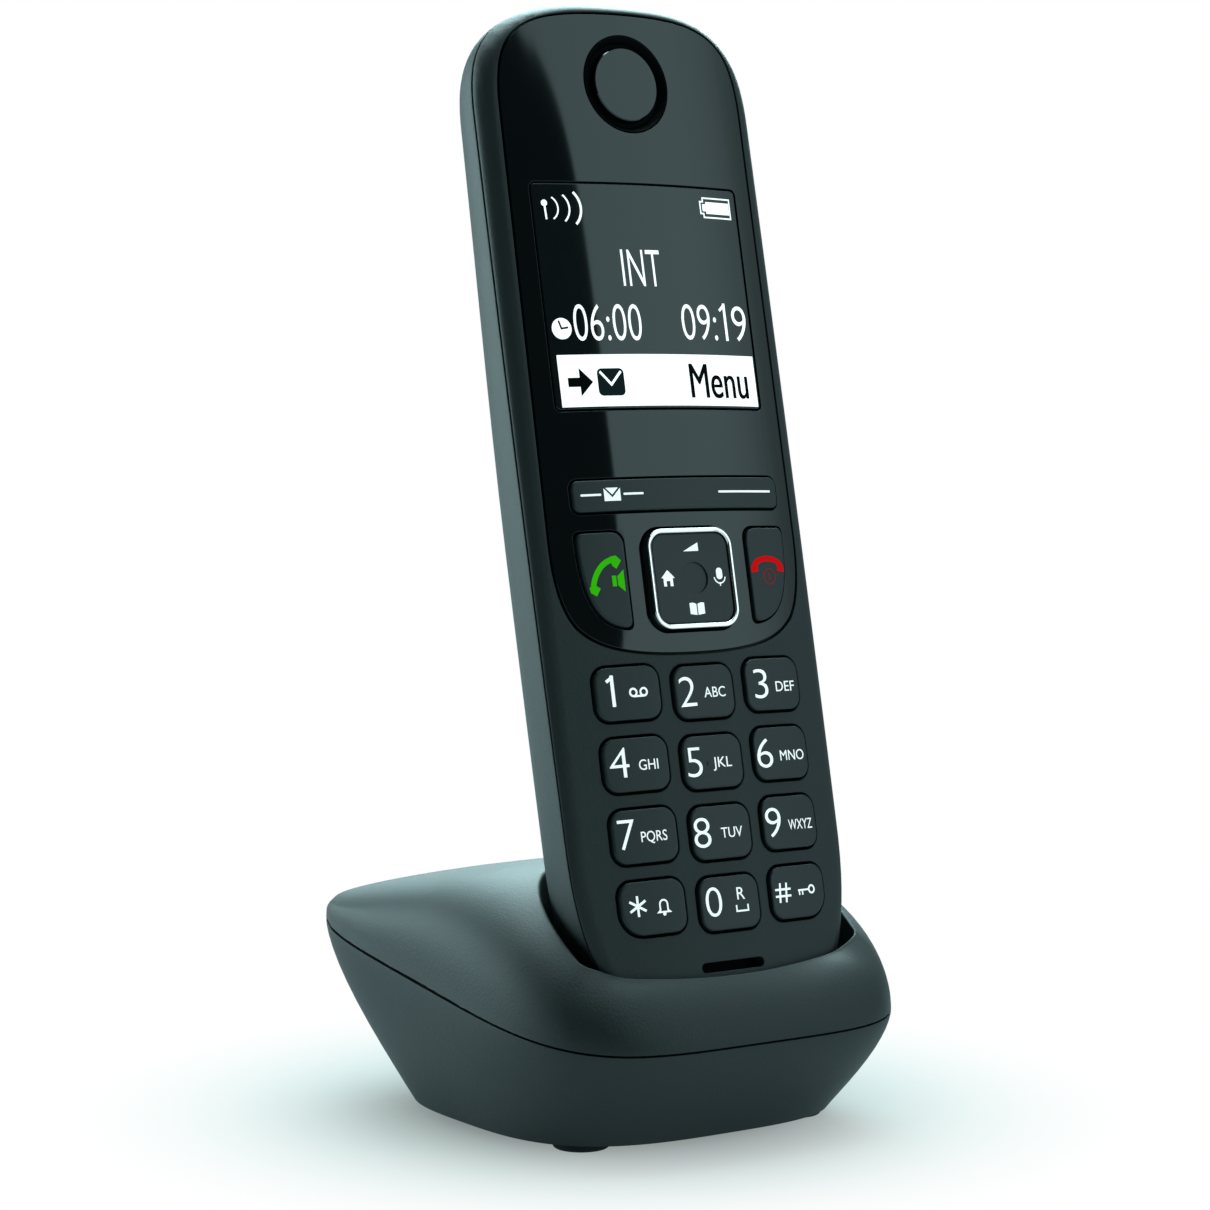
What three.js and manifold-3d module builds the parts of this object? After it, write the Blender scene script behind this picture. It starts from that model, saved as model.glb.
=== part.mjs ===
// Cordless telephone handset standing in its charging base.
// Millimetres, +Z up. The base is centred on X and Y and stands on Z = 0; the handset's face looks to -Y.
import * as THREE from 'three';
import { mergeVertices } from 'three/addons/utils/BufferGeometryUtils.js';
import Module from 'manifold-3d';

const wasm = await Module();
wasm.setup();

// ---------------------------------------------------------------- driving dimensions
const GAP = 0.3; // clearance between neighbouring parts
const SEAM = 0.25; // half of the parting line between two shells
const WALL = 1.6; // shell wall

// base
const BASE_W = 31.9; // half width at the parting line
const BASE_L = 39.5; // half length at the parting line
const BASE_N = 4.3; // squareness of that outline
const SEAM_FRONT_Z = 15.3; // height of the parting line at the front
const SEAM_RISE = 0.143; // its rise towards the back, mm per mm
const BOTTOM_W = 27; // half width of the underside
const BOTTOM_FRONT = -31; // front and back ends of the underside
const BOTTOM_BACK = 22;
const BOTTOM_N = 3.15;
const BOTTOM_Z = 1.2; // underside above the table
const BOTTOM_FLOOR = 3.2; // inner floor of the lower shell
const BELLY = 1.47; // bulge of the lower shell's walls
const CREST_Z = 38.35; // highest line of the upper shell
const CREST_FALL = 0.19; // fall of the roof towards the back
const FOOT_R = 4;
const FOOT_TOP = 1.9;
const FEET = [[-18.5, -22], [18.5, -22], [-19.3, 13], [19.3, 13]];
const LINE_X = -6.8; // sockets under the base
const POWER_X = 6.8;
const RECESS = { x: 12.8, y0: 6, y1: 18.5, z: 12.5 };

// handset, in its own frame: x across, y = depth behind the face, z = height along the face
const LEAN = 12 * Math.PI / 180; // leans back in the base
const FACE_Y = -37.67; // where the face plane meets the table
const HS_BOTTOM = 12.8;
const HS_TOP = 163.4;
const HS_W = 23.3; // half width at the lower end of the straight sides
const HS_BULGE = 0.5; // how far the sides' curve is drawn out between their ends
const HS_LOW = 45; // the rounded lower end starts here
const HS_LOW_N = 2.4; // squareness of the lower end
const HS_HIGH = 145; // the rounded upper end starts here
const HS_HIGH_W = 23.4; // half width there
const HS_HIGH_N = 3.1; // squareness of the upper end
const HS_SEAM = 3.2; // depth of the parting line at the lower end of the sides
const HS_SEAM_SLANT = 0.0145; // how it deepens towards the top, mm per mm
const HS_DEPTH = 25; // depth over the batteries
const HS_TOP_DEPTH = 21.5; // depth near the top end
const CROWN_R = 120; // radius of the face across its width
const HULL_N = 1.95; // section of the rear cover
const SPINE_LOW = 36; // ends of the handset's spine line
const SPINE_HIGH = 145;
const COVER_PLATE = 2.4; // front cover thickness
const PANEL = { w: 21, top: 20.6, low: 69.5, high: 161.4, thick: 1.3, deep: 1.5 };
const WINDOW = { w: 17.6, low: 104.3, high: 136.5, r: 0.6 };
const EAR_V = 151.3;
const EAR_R = 7.2;
const NUM_COLUMNS = [-12.5, 0, 12.5];
const NUM_TOP_ROW = 63.8;
const NUM_PITCH = 9.86;
const NUM_OUTER_RISE = 0.5; // outer columns sit a little higher
const NUM_KEY = { w: 10.1, h: 7.4, r: 2, low: 3.4, gap: 0.4 };
const KEY_PROUD = { number: 0.9, call: 0.7, display: 0.4 }; // how far the caps stand out of the face
const KEY_EDGE = { number: 0.4, call: 0.35 }; // bevel of their front edges
const KEY_BACK = 3.4; // depth of a number key's foot
const CROWN_KEY_BACK = 2.6; // the same below the crown, on keys that follow it
const DISPLAY_KEY = { w: 17.5, low: 89.75, high: 94.15, r: 1.1 };
const CALL_KEY = { in: 10.4, out: 17.6, low: 73.4, high: 86.8 };
const NAV = { v: 79.8, w: 13.8, h: 14.1, r: 3.1, band: 0.85, proud: 1.8 };
const MIC = { v: 25.3, half: 5.4, h: 1.8 };
const BATTERY_R = 5.25;
const BATTERY_L = 44.5;
const BATTERY_X = 5.8;
const BATTERY_Y = 15.3;
const BATTERY_V = 75;
const BAY = { w: 16, low: 49, high: 104, r: 6, floor: 9.7, wall: 1.1 };
const POCKET_GAP = 0.7; // room round the handset in the base
const POCKET_WALL = 1;
const POCKET_N = 4; // the pocket's lower end is squarer than the handset's
const PIN_X = 10.6;
const PIN_Y = 11;
const PIN_V = [7.4, 16.1]; // foot and tip of a charging pin
const CONTACT = { x: 1.9, y: 1.7, leg: 27 }; // half sizes of a charging contact and the top of its leg

// ---------------------------------------------------------------- colours
const look = (color, roughness = 0.55, metalness = 0) =>
  new THREE.MeshStandardMaterial({ color, roughness, metalness });
const SHELL = () => look(0x2c3637, 0.6);
const KEYCAP = () => look(0x273031, 0.5);
const GLOSS = () => look(0x0b0f10, 0.08);
const RUBBER = () => look(0x15181a, 0.85);
const BOARD = () => look(0x1f5a34, 0.5);
const PLASTIC = () => look(0x111314, 0.5);
const GOLD = () => look(0xc9a24a, 0.3, 1);
const STEEL = () => look(0x9da2a6, 0.35, 1);
const CHROME = () => look(0xd8dcde, 0.1, 1);

// ---------------------------------------------------------------- solids
function solid(geometry) {
  const bare = geometry.clone();
  bare.deleteAttribute('normal');
  bare.deleteAttribute('uv');
  const merged = mergeVertices(bare, 1e-3);
  const index = [];
  const source = merged.index.array;
  for (let i = 0; i < source.length; i += 3) {
    const [a, b, c] = [source[i], source[i + 1], source[i + 2]];
    if (a !== b && b !== c && c !== a) index.push(a, b, c);
  }
  const vertProperties = new Float32Array(merged.attributes.position.array);
  const body = new wasm.Manifold(new wasm.Mesh({ numProp: 3, vertProperties, triVerts: new Uint32Array(index) }));
  if (body.volume() > 0) return body;
  for (let i = 0; i < index.length; i += 3) [index[i], index[i + 1]] = [index[i + 1], index[i]];
  return new wasm.Manifold(new wasm.Mesh({ numProp: 3, vertProperties, triVerts: new Uint32Array(index) }));
}

function geometryOf(body) {
  const mesh = body.getMesh();
  const geometry = new THREE.BufferGeometry();
  geometry.setAttribute('position', new THREE.BufferAttribute(new Float32Array(mesh.vertProperties), 3));
  geometry.setIndex(new THREE.BufferAttribute(new Uint32Array(mesh.triVerts), 1));
  geometry.computeVertexNormals();
  return geometry;
}

const unite = (first, ...rest) => rest.reduce((sum, body) => sum.add(body), first);
const cut = (first, ...rest) => rest.reduce((left, body) => left.subtract(body), first);
// The one real body, without slivers left where two faces meet edge on.
const largest = (body) => solid(geometryOf(body.simplify(0.03))).decompose()
  .reduce((a, b) => (b.volume() > a.volume() ? b : a));

// Closed surface through rings of equal length; the first and last ring are closed by a fan.
function loft(rings) {
  const count = rings[0].length;
  const points = rings.flat();
  const index = [];
  for (let k = 0; k + 1 < rings.length; k += 1) {
    for (let i = 0; i < count; i += 1) {
      const j = (i + 1) % count;
      const [a, b] = [k * count + i, k * count + j];
      index.push(a, b, b + count, a, b + count, a + count);
    }
  }
  const fan = (ring, start, flip) => {
    const centre = ring.reduce((sum, p) => sum.add(p), new THREE.Vector3()).divideScalar(count);
    points.push(centre);
    for (let i = 0; i < count; i += 1) {
      const [a, b] = [start + i, start + (i + 1) % count];
      index.push(points.length - 1, flip ? b : a, flip ? a : b);
    }
  };
  fan(rings[0], 0, true);
  fan(rings[rings.length - 1], (rings.length - 1) * count, false);
  const geometry = new THREE.BufferGeometry().setFromPoints(points);
  geometry.setIndex(index);
  return solid(geometry);
}

const extrude = (shape, depth, curveSegments = 6) =>
  new THREE.ExtrudeGeometry(shape, { depth, curveSegments, bevelEnabled: false });

// Key cap: upright sides from its back to near its front, and a bevelled front edge. The face may follow a curve.
function cap(shape, front, back, bevel, segments = 2, follow = () => 0) {
  const points = shape.getPoints(segments).slice(0, -1);
  const centre = points.reduce((sum, p) => sum.add(p), new THREE.Vector2()).divideScalar(points.length);
  const reach = Math.max(...points.map((p) => Math.abs(p.y - centre.y)));
  const ring = (depth, inset) => points.map((p) => {
    const k = 1 - inset / reach;
    const [x, z] = [centre.x + (p.x - centre.x) * k, centre.y + (p.y - centre.y) * k];
    return new THREE.Vector3(x, depth + follow(x), z);
  });
  return loft([ring(back, 0), ring(front + bevel, 0), ring(front, bevel)]);
}

// A shape drawn in x and height, made solid from depth d0 to depth d1.
function prism(shape, d0, d1, curveSegments = 6) {
  return solid(extrude(shape, d1 - d0, curveSegments).rotateX(Math.PI / 2).translate(0, d1, 0));
}

function roundedRect(x0, x1, z0, z1, r) {
  const radii = Array.isArray(r) ? r : [r, r, r, r]; // low left, low right, high right, high left
  const [a, b, c, d] = radii;
  const shape = new THREE.Shape();
  shape.moveTo(x0 + a, z0);
  shape.lineTo(x1 - b, z0);
  shape.absarc(x1 - b, z0 + b, b, -Math.PI / 2, 0, false);
  shape.absarc(x1 - c, z1 - c, c, 0, Math.PI / 2, false);
  shape.absarc(x0 + d, z1 - d, d, Math.PI / 2, Math.PI, false);
  shape.absarc(x0 + a, z0 + a, a, Math.PI, Math.PI * 1.5, false);
  return shape;
}

const box = (x0, x1, y0, y1, z0, z1) =>
  solid(new THREE.BoxGeometry(x1 - x0, y1 - y0, z1 - z0).translate((x0 + x1) / 2, (y0 + y1) / 2, (z0 + z1) / 2));

// Cylinder along z (upright) or along y (through the face).
const post = (x, y, z0, z1, r, sides = 20) =>
  solid(new THREE.CylinderGeometry(r, r, z1 - z0, sides).rotateX(Math.PI / 2).translate(x, y, (z0 + z1) / 2));
const plug = (x, v, d0, d1, r, sides = 24) =>
  solid(new THREE.CylinderGeometry(r, r, d1 - d0, sides).translate(x, (d0 + d1) / 2, v));

const assembly = new THREE.Group();
const handset = new THREE.Group();
handset.rotation.x = -LEAN;
handset.position.y = FACE_Y;
assembly.add(handset);

function add(group, name, shape, material) {
  const mesh = new THREE.Mesh(shape.isBufferGeometry ? shape : geometryOf(shape), material);
  mesh.name = name;
  group.add(mesh);
  return mesh;
}

// ---------------------------------------------------------------- base shells
const superRadius = (angle, w, l, n) =>
  (Math.abs(Math.cos(angle) / w) ** n + Math.abs(Math.sin(angle) / l) ** n) ** (-1 / n);
const seamZ = (y) => SEAM_FRONT_Z + SEAM_RISE * (y + BASE_L);
const crestZ = (y) => {
  const back = y + 6;
  return CREST_Z - CREST_FALL / 2 * (back + Math.hypot(back, 10));
};

// Ring of directions round the base, closer together at the four corners of the outline.
function directions(count) {
  return Array.from({ length: count }, (_, i) => {
    const t = 2 * Math.PI * i / count;
    return t + 0.17 * Math.sin(4 * t);
  });
}

// The roof stands up almost straight from the sides and back, and slopes up softly from the front.
function roofPower(angle) {
  const fromFront = Math.abs(THREE.MathUtils.euclideanModulo(angle + Math.PI / 2 + Math.PI, 2 * Math.PI) - Math.PI);
  return 1.52 + 2.08 * THREE.MathUtils.smoothstep(fromFront, 0.2, 1.7);
}

function dome(inset, count, steps, reach) {
  const rings = [];
  const point = (angle, rho, below) => {
    const r = rho * superRadius(angle, BASE_W - inset, BASE_L - inset, BASE_N);
    const [x, y] = [r * Math.cos(angle), r * Math.sin(angle)];
    const m = roofPower(angle);
    const rise = (crestZ(y) - inset - seamZ(y)) * (1 - rho ** m) ** (1 / m);
    return new THREE.Vector3(x, y, seamZ(y) + SEAM + rise - below);
  };
  const angles = directions(count);
  if (reach > 0) rings.push(angles.map((a) => point(a, 1, reach)));
  for (const rho of steps) rings.push(angles.map((a) => point(a, rho, 0)));
  return loft(rings);
}

// Lower shell body: walls belly out between the underside and the parting line.
function tub(inset, floor, top, count, steps = [0, 0.3, 0.65, 1]) {
  const middle = (BOTTOM_FRONT + BOTTOM_BACK) / 2;
  const half = (BOTTOM_BACK - BOTTOM_FRONT) / 2;
  const angles = directions(count);
  const rings = steps.map((t) => angles.map((a) => {
    const high = superRadius(a, BASE_W - inset, BASE_L - inset, BASE_N);
    const low = superRadius(a, BOTTOM_W - inset, half - inset, BOTTOM_N);
    const f = t ** BELLY;
    const x = THREE.MathUtils.lerp(high, low, f) * Math.cos(a);
    const y = THREE.MathUtils.lerp(high * Math.sin(a), low * Math.sin(a) + middle, f);
    const seam = seamZ(high * Math.sin(a)) + top;
    return new THREE.Vector3(x, y, THREE.MathUtils.lerp(seam, floor, t));
  }));
  return loft(rings);
}

// Section of the handset square to its length, grown by a margin.
function sectionShape(margin) {
  const shape = new THREE.Shape();
  const half = HS_W + margin;
  const front = HS_W - 2.4;
  const side = HS_SEAM + 2;
  const face = (x) => x * x / (2 * CROWN_R) - margin;
  shape.moveTo(-front, face(front));
  shape.quadraticCurveTo(0, -face(front) - 2 * margin, front, face(front));
  shape.quadraticCurveTo(half, face(half) + 0.4, half, side);
  const hull = 12;
  for (let i = 1; i < 2 * hull; i += 1) {
    const a = Math.PI * i / (2 * hull);
    const x = half * Math.sign(Math.cos(a)) * Math.abs(Math.cos(a)) ** (2 / HULL_N);
    const y = HS_SEAM + (HS_DEPTH - HS_SEAM + margin) * Math.sin(a) ** (2 / HULL_N);
    if (y > side) shape.lineTo(x, y);
  }
  shape.lineTo(-half, side);
  shape.quadraticCurveTo(-half, face(half) + 0.4, -front, face(front));
  return shape;
}

const intoBase = (body) => body.rotate([-LEAN * 180 / Math.PI, 0, 0]).translate([0, FACE_Y, 0]);

function upperShell() {
  const outer = dome(0, 40, [1, 0.98, 0.94, 0.87, 0.76, 0.6, 0.35], 0);
  const shell = cut(outer, dome(WALL, 28, [1, 0.94, 0.82, 0.5], 1));
  const room = (inset) => tub(WALL + GAP + 0.1 + inset, BOTTOM_FLOOR + GAP + inset, 1.4, 32);
  const within = dome(0.8, 28, [1, 0.94, 0.82, 0.5], 0).translate([0, 0, 0.5]);
  const sleeve = intoBase(dockedBody(POCKET_GAP + POCKET_WALL));
  const pocket = intoBase(dockedBody(POCKET_GAP));
  const above = box(-60, 60, -60, 60, 0.9, 60).rotate([Math.atan(SEAM_RISE) * 180 / Math.PI, 0, 0])
    .translate([0, 0, seamZ(0)]);
  const open = unite(above, room(POCKET_WALL));
  const collar = intoBase(dockedBody(POCKET_GAP + 3)).intersect(within);
  let body = unite(shell, collar, sleeve.intersect(unite(within, room(0))));
  body = cut(body, pocket.intersect(open));
  for (const side of [-1, 1]) body = cut(body, pinWell(side));
  return largest(body);
}

const pinWell = (side) => intoBase(post(side * PIN_X, PIN_Y, 0, 25, 1.6, 16));

function lowerShell() {
  const outer = tub(0, BOTTOM_Z, -SEAM, 40, [0, 0.18, 0.45, 0.93, 1]);
  let body = cut(outer, tub(WALL, BOTTOM_FLOOR, 1, 28));
  // cable recess under the base: its walls and roof stand inside the shell
  const { x, y0, y1, z } = RECESS;
  const housing = box(-x - 1.6, x + 1.6, y0 - 11.5, y1 + 1.6, BOTTOM_FLOOR - 1, z + 1.6);
  const ducts = [LINE_X, POWER_X].map((sx) => box(sx - 4.2, sx + 4.2, y1 + 1, 36, BOTTOM_FLOOR - 1, 8.2));
  body = unite(body, unite(housing, ...ducts).intersect(outer));
  body = cut(body, box(-x, x, y0, y1, 0, z));
  for (const [sx, w, h] of [[LINE_X, 10.6, 8], [POWER_X, 9, 7]]) {
    body = cut(body, box(sx - w / 2, sx + w / 2, y0 - 10, y0 + 1, 2.2, 2.2 + h));
    body = cut(body, box(sx - 2.6, sx + 2.6, y1 - 1, 40, 0, 6.6)); // cable duct to the back edge
  }
  for (const [fx, fy] of FEET) body = cut(body, post(fx, fy, 0, FOOT_TOP + GAP, FOOT_R + GAP, 24));
  for (const side of [-1, 1]) {
    body = cut(body, post(side * 23, -4, 0, BOTTOM_FLOOR + 3, 1.5, 16));
    body = cut(body, post(side * 23, -4, 0, 2.6, 2.8, 16));
  }
  return largest(cut(body, pagingKey(GAP)));
}

// Seat of the paging key: the middle of the back wall, a third of the way down from the parting line.
function pagingSeat() {
  const t = 0.36;
  const top = new THREE.Vector2(BASE_L, seamZ(BASE_L));
  const foot = new THREE.Vector2(BOTTOM_BACK, BOTTOM_Z);
  const slope = BELLY * t ** (BELLY - 1) * (foot.x - top.x);
  const normal = new THREE.Vector2(top.y - foot.y, slope).normalize();
  const y = THREE.MathUtils.lerp(top.x, foot.x, t ** BELLY) - normal.x * 4;
  const z = THREE.MathUtils.lerp(top.y, foot.y, t) - normal.y * 4;
  return { y, z, tilt: Math.PI / 2 + Math.atan2(-normal.y, normal.x) };
}

function pagingKey(margin) {
  const { y, z, tilt } = pagingSeat();
  const shape = roundedRect(-5 - margin, 5 + margin, -2.2 - margin, 2.2 + margin, 2.1 + margin);
  const geometry = extrude(shape, margin > 0 ? 8 : 4.5, 4);
  return solid(geometry.rotateX(-tilt).translate(0, y, z));
}

// Modular socket: an open-fronted box with its mouth towards +Y and contact wires along its roof.
function modularSocket(x, w, h, slot) {
  const front = RECESS.y0 + 0.2;
  const back = RECESS.y0 - 9.6;
  let body = box(x - w / 2, x + w / 2, back, front, 2.5, 2.5 + h);
  body = cut(body, box(x - slot.w / 2, x + slot.w / 2, back + 1, front + 1, 3.3, 3.3 + slot.h));
  body = cut(body, box(x - slot.latch / 2, x + slot.latch / 2, back + 3, front + 1, 2, 3.5));
  const pitch = 1.27;
  for (let i = 0; i < slot.wires; i += 1) {
    const wx = x + (i - (slot.wires - 1) / 2) * pitch;
    body = unite(body, box(wx - 0.25, wx + 0.25, back + 0.5, front - 1.5, 3.3 + slot.h - 0.6, 3.3 + slot.h + 0.2));
  }
  return body;
}

// ---------------------------------------------------------------- handset shells
// Half of it runs up the right side: lower end, side, upper end; the left half mirrors it.
function handsetOutline(lowN = HS_LOW_N, margin = 0) {
  const right = [];
  const low = 8;
  for (let i = 0; i <= low; i += 1) {
    const a = Math.PI / 2 * i / low;
    right.push([(HS_W + margin) * Math.sin(a) ** (2 / lowN),
      HS_LOW - (HS_LOW + margin - HS_BOTTOM) * Math.cos(a) ** (2 / lowN)]);
  }
  const side = new THREE.QuadraticBezierCurve(new THREE.Vector2(HS_W + margin, HS_LOW),
    new THREE.Vector2(HS_W + margin + HS_BULGE, 95), new THREE.Vector2(HS_HIGH_W + margin, HS_HIGH));
  for (const p of side.getPoints(4).slice(1)) right.push([p.x, p.y]);
  const high = 7;
  for (let i = 1; i <= high; i += 1) {
    const a = Math.PI / 2 * i / high;
    right.push([(HS_HIGH_W + margin) * Math.cos(a) ** (2 / HS_HIGH_N),
      HS_HIGH + (HS_TOP + margin - HS_HIGH) * Math.sin(a) ** (2 / HS_HIGH_N)]);
  }
  right[0][0] = 0;
  right[right.length - 1][0] = 0;
  const left = right.slice(1, -1).reverse().map(([x, v]) => [-x, v]);
  return [...right, ...left];
}

const seamDepth = (v) => HS_SEAM + HS_SEAM_SLANT * (v - HS_LOW);
const spineOf = (v) => THREE.MathUtils.clamp(v, SPINE_LOW, SPINE_HIGH);
const faceDepth = (x) => x * x / (2 * CROWN_R);

// Body between two sets of levels; each level is the outline drawn in towards the spine and its depth there.
function handsetLoft(levels, outline = handsetOutline()) {
  const rings = levels.map(({ spread, depth }) => outline.map(([x, v]) => {
    const s = spineOf(v);
    const [px, pv] = [x * spread, s + (v - s) * spread];
    return new THREE.Vector3(px, depth(px, pv), pv);
  }));
  return loft(rings);
}

const backDepth = (v) =>
  THREE.MathUtils.lerp(HS_DEPTH, HS_TOP_DEPTH, THREE.MathUtils.smoothstep(v, 85, 160));

function frontCoverBody() {
  const flat = (x, v) => seamDepth(v) - SEAM;
  // the edge is rounded over nearly the whole height between the crowned face and the parting line
  const room = (x, v) => 0.9 * (flat(x, v) - faceDepth(x));
  const edge = [[1, 1], [0.9885, 0.5], [0.957, 0.134], [0.914, 0]];
  const levels = [{ spread: 0, depth: flat }, { spread: 1, depth: flat }];
  for (const [spread, drop] of edge) {
    levels.push({ spread, depth: (x, v) => faceDepth(x) + drop * room(x / spread, v) });
  }
  for (const spread of [0.61, 0.3, 0]) levels.push({ spread, depth: faceDepth });
  return handsetLoft(levels);
}

// Levels of the rounded rear, from a little behind the parting line to the back.
function hullLevels(behind, inset, steps) {
  const start = (v) => seamDepth(v) + behind;
  const wide = 1 - Math.max(inset, 0) / HS_W;
  return steps.map((c) => ({
    spread: c * wide,
    depth: (x, v) => start(v) + (backDepth(v) - start(v) - inset) * (1 - c ** HULL_N) ** (1 / HULL_N),
  }));
}

function rearHull(inset, steps) {
  const rim = (x, v) => seamDepth(v) + (inset > 0 ? SEAM - 1 : SEAM);
  const levels = hullLevels(SEAM, inset, steps);
  return handsetLoft([{ spread: 0, depth: rim }, { spread: levels[0].spread, depth: rim },
    ...levels.slice(inset > 0 ? 0 : 1)]);
}

const rearSkin = () => cut(rearHull(0, [1, 0.985, 0.93, 0.82, 0.66, 0.4, 0]),
  rearHull(WALL, [1, 0.94, 0.75, 0.4, 0]));

// The handset's lower half as one solid, grown by a margin, to shape its pocket in the base.
function dockedBody(margin) {
  const front = (drop) => (x) => faceDepth(x) - margin + drop;
  const levels = [...[0, 0.25, 0.5, 0.75, 0.92].map((spread) => ({ spread, depth: front(0) })),
    { spread: 0.98, depth: front(0.3) }, ...hullLevels(1, -margin, [1, 0.97, 0.88, 0.72, 0.5, 0.25, 0])];
  const body = handsetLoft(levels, handsetOutline(POCKET_N, margin));
  const above = solid(extrude(sectionShape(margin), 60, 5).translate(0, 0, HS_LOW));
  return unite(body.intersect(box(-40, 40, -20, 60, 0, HS_LOW + 1)), above);
}

// Plate that follows the crown of the face between two depths below it.
function crownSlab(d0, d1, half = 26) {
  const shape = new THREE.Shape();
  const steps = 10;
  for (let i = 0; i <= steps; i += 1) {
    const x = -half + 2 * half * i / steps;
    if (i === 0) shape.moveTo(x, faceDepth(x) + d0);
    else shape.lineTo(x, faceDepth(x) + d0);
  }
  for (let i = steps; i >= 0; i -= 1) {
    const x = -half + 2 * half * i / steps;
    shape.lineTo(x, faceDepth(x) + d1);
  }
  return solid(extrude(shape, 180, 1));
}

function panelShape(margin) {
  const { w, top, low, high } = PANEL;
  const x = w + margin;
  const t = top + margin;
  const [v0, v1] = [low - margin, high + margin];
  const shape = new THREE.Shape();
  shape.moveTo(0, v0);
  shape.bezierCurveTo(10, v0, 15.5 + margin, v0 + 1.2, 18.4 + margin, v0 + 4.6);
  shape.bezierCurveTo(20.2 + margin, v0 + 7, x, v0 + 11, x, v0 + 16);
  shape.lineTo(t, 147);
  shape.bezierCurveTo(t, 159.5, 16.5 + margin, v1, 0, v1);
  shape.bezierCurveTo(-16.5 - margin, v1, -t, 159.5, -t, 147);
  shape.lineTo(-x, v0 + 16);
  shape.bezierCurveTo(-x, v0 + 11, -20.2 - margin, v0 + 7, -18.4 - margin, v0 + 4.6);
  shape.bezierCurveTo(-15.5 - margin, v0 + 1.2, -10, v0, 0, v0);
  return shape;
}

const windowShape = (m) =>
  roundedRect(-WINDOW.w - m, WINDOW.w + m, WINDOW.low - m, WINDOW.high + m, WINDOW.r + m);

const displayKeyShape = (m) => roundedRect(-DISPLAY_KEY.w - m, DISPLAY_KEY.w + m,
  DISPLAY_KEY.low - m, DISPLAY_KEY.high + m, DISPLAY_KEY.r + m);

function callKeyShape(side, m) {
  const { low, high } = CALL_KEY;
  const [a, b] = [CALL_KEY.in - m, CALL_KEY.out + m];
  const sx = (x) => side * x;
  const shape = new THREE.Shape();
  shape.moveTo(sx(a), low - m + 1);
  shape.lineTo(sx(a), high + m - 2);
  shape.quadraticCurveTo(sx(a), high + m, sx(a + 2), high + m);
  shape.lineTo(sx(b - 1), high + m);
  shape.quadraticCurveTo(sx(b), high + m, sx(b), high + m - 1);
  shape.bezierCurveTo(sx(b), 79.2 - m, sx(16.4 + m), low - m + 0.6, sx(a + 1), low - m);
  shape.quadraticCurveTo(sx(a), low - m, sx(a), low - m + 1);
  return shape;
}

const navShape = (inset) => roundedRect(-NAV.w / 2 + inset, NAV.w / 2 - inset,
  NAV.v - NAV.h / 2 + inset, NAV.v + NAV.h / 2 - inset, Math.max(NAV.r - inset, 0.5));

// Places and outlines of the twelve number keys, top row first.
const NUMBER_KEYS = ['1', '2', '3', '4', '5', '6', '7', '8', '9', 'star', '0', 'hash'].map((label, i) => {
  const [row, column] = [Math.floor(i / 3), i % 3];
  const x = NUM_COLUMNS[column];
  const v = NUM_TOP_ROW - row * NUM_PITCH + (column === 1 ? 0 : NUM_OUTER_RISE);
  const { r, low } = NUM_KEY;
  const last = row === 3;
  const radii = [last && column === 0 ? low : r, last && column === 2 ? low : r, r, r];
  return { label, x, v, radii };
});

const numberKeyShape = ({ radii }, m) => roundedRect(-NUM_KEY.w / 2 - m, NUM_KEY.w / 2 + m,
  -NUM_KEY.h / 2 - m, NUM_KEY.h / 2 + m, radii.map((r) => r + m));

function frontCover() {
  let body = frontCoverBody();
  const inside = prism(roundedRect(-21, 21, 20, 157, 12), 0, 20, 6);
  body = cut(body, inside.intersect(crownSlab(COVER_PLATE, 8)));
  body = cut(body, prism(panelShape(0.35), -5, 9, 6).intersect(crownSlab(-4, PANEL.deep)));
  for (const key of NUMBER_KEYS) {
    body = cut(body, solid(extrude(numberKeyShape(key, NUM_KEY.gap), 14, 2).rotateX(Math.PI / 2)
      .translate(key.x, 8, key.v)));
  }
  for (const side of [-1, 1]) body = cut(body, prism(callKeyShape(side, 0.4), -2, 8, 5));
  body = cut(body, prism(displayKeyShape(0.4), -2, 8, 3));
  body = cut(body, prism(navShape(-0.5), -2, 8, 4));
  body = cut(body, prism(roundedRect(-18, 18, 104, 136.5, 1), -2, 8, 2));
  body = cut(body, plug(0, EAR_V, -2, 8, 5.6, 28));
  const slot = roundedRect(-MIC.half, MIC.half, MIC.v - MIC.h / 2, MIC.v + MIC.h / 2, MIC.h / 2 - 0.01);
  return largest(cut(body, prism(slot, -2, 8, 4)));
}

function frontPanel() {
  let body = prism(panelShape(0), -3, 6, 6).intersect(crownSlab(0, PANEL.thick));
  for (const side of [-1, 1]) body = cut(body, prism(callKeyShape(side, 0.35), -2, 8, 5));
  body = cut(body, prism(displayKeyShape(0.35), -2, 8, 3));
  body = cut(body, prism(navShape(-0.4), -2, 8, 4));
  body = cut(body, prism(windowShape(0.3), -2, 8, 3));
  return largest(cut(body, plug(0, EAR_V, -2, 8, EAR_R, 32)));
}

const bayShape = (m) => roundedRect(-BAY.w - m, BAY.w + m, BAY.low - m, BAY.high + m, BAY.r + m);

function rearCover() {
  const { floor, wall } = BAY;
  const filled = rearHull(WALL / 2, [1, 0.94, 0.75, 0.4, 0]);
  const tray = prism(bayShape(GAP + wall), floor - wall, 40, 4).intersect(filled);
  let body = cut(unite(rearSkin(), tray), prism(bayShape(GAP), floor, 40, 4));
  // sound slots of the ringer, high on the back
  for (let i = -2; i <= 2; i += 1) {
    const v = 124 + i * 3;
    body = cut(body, prism(roundedRect(-6, 6, v - 0.6, v + 0.6, 0.59), 12, 40, 3));
  }
  for (const side of [-1, 1]) body = cut(body, chargeWindow(side));
  return largest(body);
}

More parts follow.
